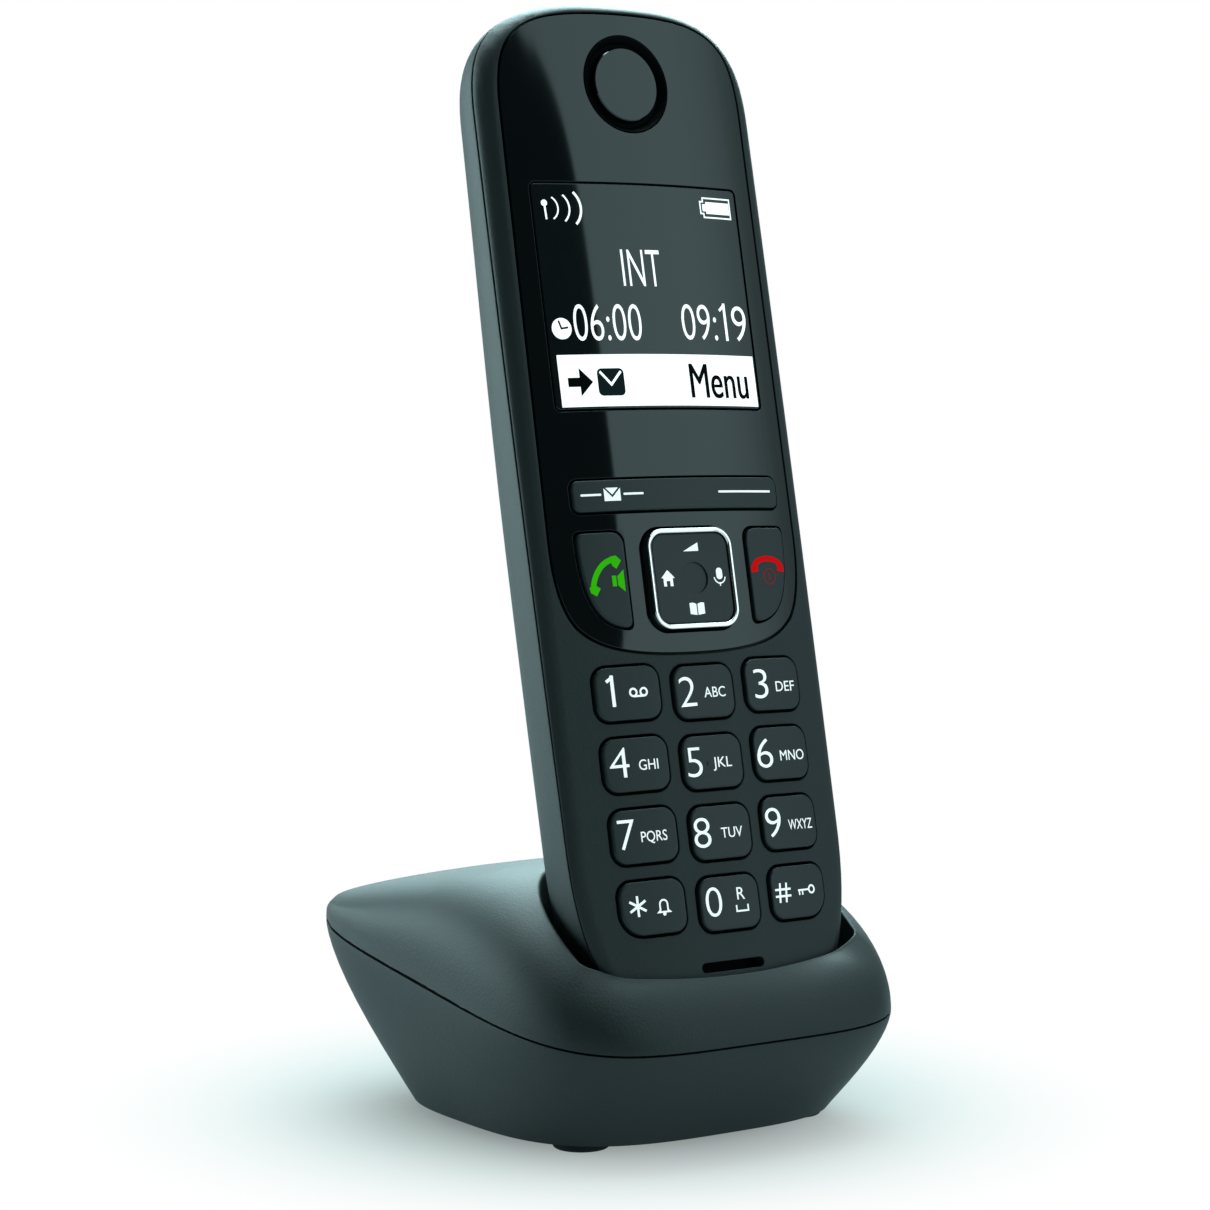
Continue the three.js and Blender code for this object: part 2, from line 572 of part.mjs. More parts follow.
// Opening in the lower end for a charging contact, smaller by a margin for the contact itself.
function chargeWindow(side, margin = 0) {
  const [wx, wy] = [CONTACT.x + GAP - margin, CONTACT.y + GAP - margin];
  return box(side * PIN_X - wx, side * PIN_X + wx, PIN_Y - wy, PIN_Y + wy, HS_BOTTOM - 3, CONTACT.leg + 1.8);
}

// Charging contact: a plate flush with the rear cover, and the leg that leads inside from it.
function chargeContact(side) {
  const plate = rearSkin().intersect(chargeWindow(side, GAP));
  const [x, y] = [side * PIN_X, PIN_Y - CONTACT.y];
  return unite(plate, box(x - CONTACT.x, x + CONTACT.x, y, y + 0.5, 17.6, CONTACT.leg));
}

function batteryCover() {
  return largest(rearSkin().intersect(prism(bayShape(0), BAY.floor + GAP, 40, 4)));
}

// ---------------------------------------------------------------- keys
function numberKey(key) {
  const lift = faceDepth(key.x) - KEY_PROUD.number;
  return cap(numberKeyShape(key, 0), 0, KEY_BACK - lift, KEY_EDGE.number)
    .rotate([0, 0, key.x / CROWN_R * 180 / Math.PI]).translate([key.x, lift, key.v]);
}

const callKey = (side) => cap(callKeyShape(side, 0), -KEY_PROUD.call, CROWN_KEY_BACK, KEY_EDGE.call, 5, faceDepth);

const displayKey = () =>
  prism(displayKeyShape(0), -3, 9, 3).intersect(crownSlab(-KEY_PROUD.display, CROWN_KEY_BACK, 22));

function navRing() {
  const { band, proud } = NAV;
  const outer = cap(navShape(0), -proud, -proud + 0.6, 0.25);
  return cut(outer, prism(navShape(band), -proud - 1, 2, 2));
}

function navKey() {
  const { band, proud } = NAV;
  const top = cap(navShape(band + GAP), -proud + 0.25, 1, 0.3);
  const skirt = prism(navShape(0.1), -proud + 0.7, 3.4, 2);
  return cut(unite(top, skirt), plug(0, NAV.v, -proud - 1, -proud + 0.5, 2.2, 20));
}

// ---------------------------------------------------------------- base assembly
function chargePin(side) {
  const [low, high] = PIN_V;
  const tip = solid(new THREE.SphereGeometry(1.2, 12, 6).translate(side * PIN_X, PIN_Y, high - 1.2));
  const shaft = post(side * PIN_X, PIN_Y, low, high - 1.2, 1.2, 12);
  return unite(shaft, tip, post(side * PIN_X, PIN_Y, low + 0.6, low + 1.6, 2, 12));
}

add(assembly, 'base_upper_shell', upperShell(), SHELL());
add(assembly, 'base_lower_shell', lowerShell(), SHELL());
for (const [name, [x, y]] of [['front_left', FEET[0]], ['front_right', FEET[1]],
  ['rear_left', FEET[2]], ['rear_right', FEET[3]]]) {
  add(assembly, `base_foot_${name}`, post(x, y, 0, FOOT_TOP, FOOT_R), RUBBER());
}
for (const [name, side] of [['left', -1], ['right', 1]]) {
  const head = post(side * 23, -4, 1.4, 2.3, 2.5, 16);
  add(assembly, `base_screw_${name}`, unite(head, post(side * 23, -4, 1.4, 12, 1.15, 12)), STEEL());
}
{
  let board = box(-21, 21, -8, 20, 15.4, 16.8);
  board = cut(board, intoBase(dockedBody(POCKET_GAP + POCKET_WALL + 1)));
  add(assembly, 'base_circuit_board', board, BOARD());
}
add(assembly, 'line_socket', modularSocket(LINE_X, 10, 7.4, { w: 7.6, h: 5, latch: 3.4, wires: 4 }), PLASTIC());
add(assembly, 'power_socket', modularSocket(POWER_X, 8.4, 6.6, { w: 6, h: 5, latch: 2.8, wires: 2 }), PLASTIC());
add(assembly, 'paging_key', pagingKey(0), KEYCAP());
for (const [name, side] of [['left', -1], ['right', 1]]) {
  add(handset, `charge_pin_${name}`, chargePin(side), GOLD());
}

// ---------------------------------------------------------------- handset assembly
add(handset, 'handset_front_cover', frontCover(), SHELL());
add(handset, 'handset_rear_cover', rearCover(), SHELL());
add(handset, 'battery_cover', batteryCover(), SHELL());
add(handset, 'front_panel', frontPanel(), GLOSS());
add(handset, 'display_window', prism(windowShape(0), -3, 6, 3).intersect(crownSlab(0, 0.9)), GLOSS());
add(handset, 'display_module', box(-17.4, 17.4, 2.4, 5.2, 104.6, 136), PLASTIC());
{
  const dish = plug(0, EAR_V, 0.1, 1.2, EAR_R - 0.3, 32);
  const groove = cut(plug(0, EAR_V, -1, 0.9, 8, 28), plug(0, EAR_V, -2, 3, 5.3, 28));
  add(handset, 'earpiece_disc', cut(dish, groove), GLOSS());
}
add(handset, 'earpiece_speaker', plug(0, EAR_V, 1.6, 5.4, 5, 24), PLASTIC());
add(handset, 'microphone', plug(0, MIC.v, 2.9, 5, 2.6, 16), STEEL());
add(handset, 'keypad_mat', prism(roundedRect(-18.6, 18.6, 29, 96, 3), 4.7, 5.6, 4), RUBBER());
add(handset, 'handset_circuit_board', prism(roundedRect(-18.5, 18.5, 22, 156, 8), 6.4, 7.6, 4), BOARD());
add(handset, 'ringer', plug(0, 130, 8, 12.5, 8.5, 24), PLASTIC());
for (const [name, side] of [['left', -1], ['right', 1]]) {
  const cell = solid(new THREE.CylinderGeometry(BATTERY_R, BATTERY_R, BATTERY_L - 1, 24));
  const tip = solid(new THREE.CylinderGeometry(1.8, 1.8, 1.2, 12).translate(0, BATTERY_L / 2 - 0.3, 0));
  const mesh = add(handset, `battery_${name}`, unite(cell, tip), look(0x2f6f4a, 0.4, 0.3));
  mesh.rotation.x = Math.PI / 2 * -side;
  mesh.position.set(side * BATTERY_X, BATTERY_Y, BATTERY_V);
}
for (const [name, v0] of [['upper', BATTERY_V + 23.2], ['lower', BATTERY_V - 24]]) {
  add(handset, `battery_contact_${name}`, box(-9.5, 9.5, 12.5, 18.5, v0, v0 + 0.5), STEEL());
}
for (const [name, side] of [['left', -1], ['right', 1]]) {
  add(handset, `charge_contact_${name}`, chargeContact(side), GOLD());
}
for (const key of NUMBER_KEYS) add(handset, `key_${key.label}`, numberKey(key), KEYCAP());
add(handset, 'talk_key', callKey(-1), KEYCAP());
add(handset, 'end_key', callKey(1), KEYCAP());
add(handset, 'display_key', displayKey(), KEYCAP());
add(handset, 'nav_ring', navRing(), CHROME());
add(handset, 'nav_key', navKey(), KEYCAP());
add(handset, 'nav_pivot', plug(0, NAV.v, 3.7, 4.4, 1.5, 12), PLASTIC());

export default assembly;
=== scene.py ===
"""Cordless telephone in its charging base: fine surfaces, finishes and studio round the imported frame."""
import math

import bmesh
import bpy
from mathutils import Matrix, Vector


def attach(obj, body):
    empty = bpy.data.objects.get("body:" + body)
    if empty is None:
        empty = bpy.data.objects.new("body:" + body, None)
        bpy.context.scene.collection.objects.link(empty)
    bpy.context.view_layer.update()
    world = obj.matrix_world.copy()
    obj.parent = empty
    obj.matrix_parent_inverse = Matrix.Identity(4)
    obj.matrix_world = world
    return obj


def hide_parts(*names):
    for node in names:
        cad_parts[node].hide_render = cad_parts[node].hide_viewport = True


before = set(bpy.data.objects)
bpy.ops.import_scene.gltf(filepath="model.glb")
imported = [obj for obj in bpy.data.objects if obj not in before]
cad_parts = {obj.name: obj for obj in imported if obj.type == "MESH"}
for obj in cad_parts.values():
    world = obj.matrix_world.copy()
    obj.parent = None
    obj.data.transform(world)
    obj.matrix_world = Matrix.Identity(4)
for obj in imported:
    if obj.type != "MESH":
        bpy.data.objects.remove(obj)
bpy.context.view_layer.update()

# ------------------------------------------------------------------ sizes, in millimetres
MM = 0.001
LEAN = math.radians(12)  # the handset leans back in its base
FACE_Y = -37.67  # where its face plane meets the table
CROWN_R = 120.0  # radius of the face across its width
LINE = 0.15  # half of a parting line
WALL = 1.6  # of the shells
GAP = 0.3  # between pieces that fit into each other

# base: half width, half length and squareness of its plan; the same of its underside; the roof's crest
BASE_W, BASE_L, BASE_N = 31.9, 39.5, 4.3
SEAM_FRONT_Z, SEAM_RISE = 15.3, 0.143
BOTTOM_W, BOTTOM_FRONT, BOTTOM_BACK, BOTTOM_N = 27.0, -31.0, 22.0, 3.15
BOTTOM_Z, BOTTOM_FLOOR, BELLY = 1.2, 3.2, 1.47
CREST_Z, CREST_FALL, CREST_BACK, CREST_SOFT = 38.35, 0.19, 6.0, 10.0
ROOF_SOFT, ROOF_SQUARE = 1.52, 3.6  # squareness of the roof's section in front, and at the sides and back
# steps of the tub's section, from the parting line down to the floor
TUB_STEPS = (0, 0.03, 0.08, 0.15, 0.24, 0.34, 0.45, 0.57, 0.69, 0.8, 0.89, 0.95, 0.985, 1)
FEET = {"front_left": (-18.5, -22), "front_right": (18.5, -22),
        "rear_left": (-19.3, 13), "rear_right": (19.3, 13)}
FOOT_R, FOOT_TOP = 4.0, 1.9
SCREW_X, SCREW_Y = 23, -4
LINE_SOCKET, POWER_SOCKET = (-6.8, 10.6, 8.0), (6.8, 9.0, 7.0)  # place across, width and height
RECESS_X, RECESS_FRONT, RECESS_BACK, RECESS_ROOF = 12.8, 6.0, 18.5, 12.5
DUCT_W, DUCT_TOP = 2.6, 6.6
PAGING_DROP = 0.36  # share of the way down the back wall at which the paging key stands

# pocket of the base
LIP_RADIUS = 0.8  # rounding of its rim
RIM_FRONT, RIM_SAG, RIM_CORNER, RIM_SIDE = 24.7, 0.9, 2.0, 3.0  # height of the rim's front, and how it rises
POCKET_MIDDLE = Vector((0, -17.5))
POCKET_GAP, POCKET_WALL, POCKET_N = 0.7, 1.0, 4.0
POCKET_D = 10.5  # depth of its middle line
PIN_X, PIN_Y = 10.6, 11.0  # the charging pins and contacts
CONTACT_W, CONTACT_D = 2.2, 2.0  # half sizes of the contacts' windows
RIM_STEPS, ROOF_STEPS, LIP_STEPS = 120, 26, 6
WALL_SHARES = (0.2, 0.4, 0.58, 0.72, 0.83, 0.91, 0.96, 0.985, 0.998)  # rings of the wall, rim to floor
SLEEVE_SHARES = (0.35, 0.6, 0.8, 0.93, 0.99)  # and of its outside

# handset: half widths and squareness of its two ends, then its depths
HS_BOTTOM, HS_TOP = 12.8, 163.4
HS_W, HS_BULGE, HS_BULGE_V, HS_LOW, HS_LOW_N = 23.3, 0.5, 95, 45.0, 2.4
HS_HIGH, HS_HIGH_W, HS_HIGH_N = 145.0, 23.4, 3.1
HS_SEAM, HS_SEAM_SLANT = 3.2, 0.0145  # depth of the parting line at HS_LOW, and how it deepens upwards
HS_DEPTH, HS_TOP_DEPTH, HULL_N = 25.0, 21.5, 1.95
HS_TAPER, HS_TAPER_LONG = 85, 75  # where the back starts to get thinner, and over what length
SPINE_LOW, SPINE_HIGH = 36.0, 145.0
END_STEPS, SIDE_STEPS, CHEEK_STEPS = 24, 12, 9
CHEEK_IN, CHEEK_DROP = 0.086, 0.9  # how far the cheeks take the face in, and take it back towards the seam
WELL_DEEP, BEHIND = 8.0, 40.0  # reach of the cutting shapes behind the face, and behind the whole handset
TRAY_WALL, HULL_SKIN = 1.1, 0.8  # of the battery tray, and of the skin that it stays inside
VENT_V, VENT_PITCH, VENT_W, VENT_H = 124, 3, 6, 0.6
BAY_W, BAY_LOW, BAY_HIGH, BAY_R, BAY_FLOOR = 16.0, 49.0, 104.0, 6.0, 9.7

# face of the handset
PANEL_W, PANEL_TOP_W, PANEL_LOW, PANEL_HIGH = 21.0, 20.6, 69.5, 161.4
PANEL_GAP, PANEL_DEEP = 0.35, 1.5
WINDOW_W, WINDOW_LOW, WINDOW_HIGH, WINDOW_R = 17.6, 104.3, 136.5, 0.6
EAR_V, EAR_R = 151.3, 7.2  # height and radius of the earpiece
MIC_LEFT, MIC_RIGHT, MIC_LOW, MIC_HIGH, MIC_R = -5.2, 5.4, 24.95, 26.3, 0.66
KEY_W, KEY_H, KEY_R, KEY_LOW_R = 5.05, 3.7, 2.0, 3.4  # half sizes and corner radii of a number key
KEY_GAP, KEY_PROUD, KEY_EDGE = 0.4, 0.45, 0.24
KEY_SHIFT = 0.5  # the keys stand this far right of the middle line
KEY_COLUMNS = (-12.5 + KEY_SHIFT, KEY_SHIFT, 12.5 + KEY_SHIFT)
KEY_TOP_ROW, KEY_PITCH, KEY_OUTER_RISE = 63.8, 9.86, 0.5
CALL_IN, CALL_OUT, CALL_LOW, CALL_HIGH = 10.4, 17.6, 73.4, 86.8
CALL_PROUD, CALL_SHIFT = 0.45, {-1: 0.45, 1: 0.9}
DISPLAY_LEFT, DISPLAY_RIGHT, DISPLAY_LOW, DISPLAY_HIGH = -17.0, 18.4, 89.75, 94.15
DISPLAY_R, DISPLAY_PROUD = 1.1, 0.4
NAV_V, NAV_W, NAV_H, NAV_R, NAV_BAND, NAV_PROUD = 79.8, 7.25, 7.1, 2.7, 0.66, 1.1
NAV_TOP = -NAV_PROUD + 0.25  # depth of the four-way key's own top
PRINT_LIFT = 0.02  # print stands this far out of the surface that carries it

STAND = Matrix.Scale(MM, 4) @ Matrix.Translation((0, FACE_Y, 0)) @ Matrix.Rotation(-LEAN, 4, "X")
UPRIGHT = Matrix.Scale(MM, 4)


# ------------------------------------------------------------------ modelling by hand, in millimetres
def clear():
    """Leaves edit mode and drops every selection."""
    if bpy.context.mode != "OBJECT":
        bpy.ops.object.mode_set(mode="OBJECT")
    bpy.ops.object.select_all(action="DESELECT")


def only(piece):
    """Makes a piece the only selected one."""
    clear()
    piece.select_set(True)
    bpy.context.view_layer.objects.active = piece


def settle(piece):
    """Moves a piece's place, turn and size into its mesh."""
    only(piece)
    bpy.ops.object.transform_apply(location=True, rotation=True, scale=True)
    return piece


def block(name, x, y, z):
    """A box between low and high values of x, y and z."""
    clear()
    middle = [(low + high) / 2 for low, high in (x, y, z)]
    bpy.ops.mesh.primitive_cube_add(size=1, location=middle)
    piece = bpy.context.object
    piece.name = name
    piece.scale = [high - low for low, high in (x, y, z)]
    return settle(piece)


def rod(name, centre, radius, length, axis="Y", sides=64):
    """A cylinder along an axis, centred on a point."""
    clear()
    turn = (-math.pi / 2 if axis == "Y" else 0, 0, 0)
    bpy.ops.mesh.primitive_cylinder_add(vertices=sides, radius=radius, depth=length, location=centre,
                                        rotation=turn)
    piece = bpy.context.object
    piece.name = name
    return settle(piece)


def pick(piece, kind, test):
    """Goes into edit mode with the faces, edges or vertices that pass a test selected."""
    only(piece)
    bpy.ops.object.mode_set(mode="EDIT")
    bpy.ops.mesh.select_mode(type=kind)
    bpy.ops.mesh.select_all(action="DESELECT")
    mesh = bmesh.from_edit_mesh(piece.data)
    for item in {"FACE": mesh.faces, "EDGE": mesh.edges, "VERT": mesh.verts}[kind]:
        if test(item):
            item.select_set(True)
    bmesh.update_edit_mesh(piece.data)


def done():
    """Leaves edit mode."""
    bpy.ops.object.mode_set(mode="OBJECT")


def whole(_):
    """Test that every face, edge or vertex passes."""
    return True


def at_depth(y, reach=1e-3):
    """Edges that lie wholly at one depth, on the rim of a face there."""
    return lambda edge: all(abs(v.co.y - y) < reach for v in edge.verts)


def round_edges(piece, test, radius, segments=4):
    """Bevels the edges that pass a test."""
    pick(piece, "EDGE", test)
    bpy.ops.mesh.bevel(offset=radius, segments=segments, profile=0.5, affect="EDGES", clamp_overlap=True)
    done()


def modify(piece, kind, **settings):
    """Adds a modifier with its settings and applies it."""
    only(piece)
    step = piece.modifiers.new(kind.lower(), kind)
    for key, value in settings.items():
        setattr(step, key, value)
    bpy.ops.object.modifier_apply(modifier=step.name)


def sheet_of(name, points, depth):
    """A flat outline drawn in x and height, at one depth."""
    clear()
    bpy.ops.mesh.primitive_circle_add(vertices=len(points), radius=1, fill_type="NGON")
    piece = bpy.context.object
    piece.name = name
    for vertex, (x, z) in zip(piece.data.vertices, points):
        vertex.co = (x, depth, z)
    return piece


def plate(name, points, front, back):
    """A flat outline, pulled from one depth to another."""
    piece = sheet_of(name, points, front)
    pick(piece, "FACE", whole)
    bpy.ops.mesh.extrude_region_move(TRANSFORM_OT_translate={"value": (0, back - front, 0)})
    bpy.ops.mesh.select_all(action="SELECT")
    bpy.ops.mesh.normals_make_consistent(inside=False)
    done()
    return piece


def carve(piece, tool, how="DIFFERENCE"):
    """Cuts a piece with another shape, joins the two or keeps what they share; the other shape is used up."""
    modify(piece, "BOOLEAN", operation=how, solver="EXACT", object=tool)
    bpy.data.objects.remove(tool, do_unlink=True)


def open_up(piece, outline, front=-2, back=WELL_DEEP):
    """Cuts an opening of an outline through a piece, between two depths."""
    carve(piece, plate("well", outline, front, back))


def join(name, pieces):
    """Makes several loose shapes one piece."""
    clear()
    for piece in pieces:
        piece.select_set(True)
    bpy.context.view_layer.objects.active = pieces[0]
    if len(pieces) > 1:
        bpy.ops.object.join()
    pieces[0].name = name
    return pieces[0]


def copy_of(piece, name, shift=(0, 0, 0)):
    """A copy with a mesh of its own."""
    other = piece.copy()
    other.data = piece.data.copy()
    other.name = name
    bpy.context.collection.objects.link(other)
    other.data.transform(Matrix.Translation(shift))
    return other


def slice_across(piece, start, pitch, count, normal=(1, 0, 0)):
    """Cuts evenly spaced lines across a piece so that it can follow a curve."""
    for i in range(count):
        pick(piece, "FACE", whole)
        bpy.ops.mesh.bisect(plane_co=[(start + pitch * i) * n for n in normal], plane_no=normal)
    done()


def face_depth(x):
    """How far the crowned face lies behind its middle line."""
    return x * x / (2 * CROWN_R)


def seam_depth(v):
    """Depth of the handset's parting line at a height."""
    return HS_SEAM + HS_SEAM_SLANT * (v - HS_LOW)


def crown(piece, to_seam=False):
    """Bends a flat piece to the crown of the face; to_seam leaves the parting line where it is."""
    for vertex in piece.data.vertices:
        share = 1 - vertex.co.y / (seam_depth(vertex.co.z) - LINE) if to_seam else 1
        vertex.co.y += face_depth(vertex.co.x) * share


def loft(name, rings, ends=(True, True)):
    """A skin through closed rings: the first ring's edge is extruded to each next one in turn."""
    count = len(rings[0])
    clear()
    bpy.ops.mesh.primitive_circle_add(vertices=count, radius=1, fill_type="NOTHING")
    piece = bpy.context.object
    piece.name = name
    for vertex, point in zip(piece.data.vertices, rings[0]):
        vertex.co = point
    bpy.ops.object.mode_set(mode="EDIT")
    bpy.ops.mesh.select_mode(type="VERT")
    bpy.ops.mesh.select_all(action="SELECT")
    for ring in rings[1:]:
        bpy.ops.mesh.extrude_edges_move()
        for vertex, point in zip(list(bmesh.from_edit_mesh(piece.data).verts)[-count:], ring):
            vertex.co = point
    if ends[1]:
        bpy.ops.mesh.edge_face_add()
    if ends[0]:
        pick(piece, "VERT", lambda vertex: vertex.index < count)
        bpy.ops.mesh.edge_face_add()
    bpy.ops.mesh.select_all(action="SELECT")
    bpy.ops.mesh.remove_doubles(threshold=1e-4)
    bpy.ops.mesh.dissolve_degenerate(threshold=1e-5)
    bpy.ops.mesh.normals_make_consistent(inside=False)
    done()
    return piece


def finish(piece, body, material, nodes=(), place=STAND, sharp=32, weigh=True):
    """Shades a piece, puts it in its place in the model, gives it its finish, hangs it on its body and hides
    the carried-over parts that it stands in for.
    """
    only(piece)
    bpy.ops.object.shade_smooth_by_angle(angle=math.radians(sharp))
    if weigh:
        modify(piece, "WEIGHTED_NORMAL", keep_sharp=True, weight=60)
    piece.data.transform(place)
    piece.data.materials.clear()
    piece.data.materials.append(material)
    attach(piece, body)
    if nodes:
        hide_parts(*nodes)


# ------------------------------------------------------------------ outlines
def bezier(p0, p1, p2, p3, steps):
    """Points along a drawn curve, without its first one."""
    points = []
    for i in range(1, steps + 1):
        t = i / steps
        points.append(tuple((1 - t) ** 3 * a + 3 * t * (1 - t) ** 2 * b + 3 * t * t * (1 - t) * c + t ** 3 * d
                            for a, b, c, d in zip(p0, p1, p2, p3)))
    return points


def rounded(x0, x1, z0, z1, radii, steps=8):
    """Rounded rectangle; radii run low left, low right, high right, high left."""
    if not isinstance(radii, (tuple, list)):
        radii = (radii,) * 4
    corners = ((x0, z0, 1, 1, 180), (x1, z0, -1, 1, 270), (x1, z1, -1, -1, 0), (x0, z1, 1, -1, 90))
    points = []
    for (x, z, dx, dz, start), r in zip(corners, radii):
        for i in range(steps + 1):
            a = math.radians(start + 90 * i / steps)
            points.append((x + dx * r + r * math.cos(a), z + dz * r + r * math.sin(a)))
    return points


def quarter(i, steps):
    """Sine and cosine of a step of a quarter turn."""
    a = math.pi / 2 * i / steps
    return math.sin(a), max(math.cos(a), 0)


def arc(x, v, radius, start, end, steps=12):
    points = []
    for i in range(steps + 1):
        a = math.radians(start + (end - start) * i / steps)
        points.append((x + radius * math.cos(a), v + radius * math.sin(a)))
    return points


def circle(x, v, radius, sides):
    return arc(x, v, radius, 0, 360, sides)[:-1]


def panel_outline(margin):
    """Gloss panel: wide rounded chin, slightly tapering sides, domed top."""
    v0, v1, m = PANEL_LOW - margin, PANEL_HIGH + margin, margin
    w, top = PANEL_W + m, PANEL_TOP_W + m
    right = [(0.0, v0)]
    right += bezier((0, v0), (10, v0), (15.5 + m, v0 + 1.2), (18.4 + m, v0 + 4.6), 14)
    right += bezier((18.4 + m, v0 + 4.6), (20.2 + m, v0 + 7), (w, v0 + 11), (w, v0 + 16), 8)
    right += [(w + (top - w) * i / 8, v0 + 16 + (131 - v0) * i / 8) for i in range(1, 9)]
    right += bezier((top, 147), (top, 159.5), (16.5 + m, v1), (0, v1), 24)
    return right + [(-x, v) for x, v in reversed(right[1:-1])]


def call_outline(side, m):
    """Talk or end key: straight inner side, its lower outer corner swept away."""
    low, high = CALL_LOW - m, CALL_HIGH + m
    a, b = CALL_IN - m, CALL_OUT + m
    points = [(a, low + 1), (a, high - 2)]
    points += bezier(points[-1], (a, high - 0.7), (a + 0.7, high), (a + 2, high), 6)
    points += [(b - 1.0, high)]
    points += bezier(points[-1], (b - 0.4, high), (b, high - 0.4), (b, high - 1.0), 5)
    points += bezier(points[-1], (b, 79.2 - m), (16.4 + m, low + 0.6), (a + 1, low), 16)
    points += bezier(points[-1], (a + 0.4, low), (a, low + 0.3), (a, low + 1), 4)[:-1]
    return [(side * x + CALL_SHIFT[side], v) for x, v in points]


def display_outline(m):
    return rounded(DISPLAY_LEFT - m, DISPLAY_RIGHT + m, DISPLAY_LOW - m, DISPLAY_HIGH + m, DISPLAY_R + m, 6)


def window_outline(m):
    return rounded(-WINDOW_W - m, WINDOW_W + m, WINDOW_LOW - m, WINDOW_HIGH + m, WINDOW_R + m, 6)


def nav_outline(inset):
    w, h = NAV_W - inset, NAV_H - inset
    return rounded(KEY_SHIFT - w, KEY_SHIFT + w, NAV_V - h, NAV_V + h, max(NAV_R - inset, 0.5), 10)


def bay_outline(m):
    return rounded(-BAY_W - m, BAY_W + m, BAY_LOW - m, BAY_HIGH + m, BAY_R + m)


def handset_outline():
    """Outline of the handset seen from the front: rounded lower end, long sides, rounded top."""
    right = []
    for i in range(END_STEPS + 1):
        s, c = quarter(i, END_STEPS)
        right.append((HS_W * s ** (2 / HS_LOW_N), HS_LOW - (HS_LOW - HS_BOTTOM) * c ** (2 / HS_LOW_N)))
    for i in range(1, SIDE_STEPS + 1):
        t = i / SIDE_STEPS
        x = (1 - t * t) * HS_W + 2 * t * (1 - t) * HS_BULGE + t * t * HS_HIGH_W
        right.append((x, (1 - t) ** 2 * HS_LOW + 2 * t * (1 - t) * HS_BULGE_V + t * t * HS_HIGH))
    for i in range(1, END_STEPS + 1):
        s, c = quarter(i, END_STEPS)
        right.append((HS_HIGH_W * c ** (2 / HS_HIGH_N), HS_HIGH + (HS_TOP - HS_HIGH) * s ** (2 / HS_HIGH_N)))
    right[0] = (0.0, right[0][1])
    right[-1] = (0.0, right[-1][1])
    return right + [(-x, v) for x, v in reversed(right[1:-1])]


def drawn_in(outline, spread):
    """The outline drawn in towards the handset's spine."""
    points = []
    for x, v in outline:
        s = min(max(v, SPINE_LOW), SPINE_HIGH)
        points.append((x * spread, s + (v - s) * spread))
    return points


def smooth(t):
    """Smooth step from 0 to 1."""
    t = min(max(t, 0), 1)
    return t * t * (3 - 2 * t)


def back_depth(v):
    """Depth of the handset's back, which gets thinner upwards."""
    return HS_DEPTH + (HS_TOP_DEPTH - HS_DEPTH) * smooth((v - HS_TAPER) / HS_TAPER_LONG)


# ------------------------------------------------------------------ shader nodes
def put(tree, socket, value):
    """Sets a socket to a plain value, or links another node's output to it."""
    if isinstance(value, bpy.types.NodeSocket):
        tree.links.new(value, socket)
    else:
        socket.default_value = value


def node(tree, kind, *inputs, **values):
    """A shader node: inputs in their order; values by name, each for a setting or for a socket."""
    item = tree.nodes.new("ShaderNode" + kind)
    for key, value in values.items():
        if hasattr(item, key):
            setattr(item, key, value)
        else:
            put(tree, item.inputs[key.replace("_", " ")], value)
    for socket, value in zip(item.inputs, inputs):
        put(tree, socket, value)
    return item


def maths(tree, operation, *values):
    return node(tree, "Math", *values, operation=operation).outputs[0]


def ease(tree, value, low, high, start=0.0, end=1.0):
    """Smooth change from start to end while a value goes from low to high."""
    return node(tree, "MapRange", interpolation_type="SMOOTHSTEP", Value=value, From_Min=low, From_Max=high,
                To_Min=start, To_Max=end).outputs["Result"]


def heading(azimuth, elevation):
    """Direction towards an azimuth, in degrees to the right of the front, and an elevation."""
    a, e = math.radians(azimuth), math.radians(elevation)
    return math.sin(a) * math.cos(e), -math.cos(a) * math.cos(e), math.sin(e)


def along(tree, vector, azimuth, elevation):
    """How far a direction points towards a heading."""
    aim = heading(azimuth, elevation)
    return node(tree, "VectorMath", vector, aim, operation="DOT_PRODUCT").outputs["Value"]


def blend(tree, factor, first, second):
    """Colour that goes from a first to a second one."""
    item = node(tree, "Mix", factor, data_type="RGBA")
    put(tree, item.inputs[6], first)
    put(tree, item.inputs[7], second)
    return item.outputs[2]


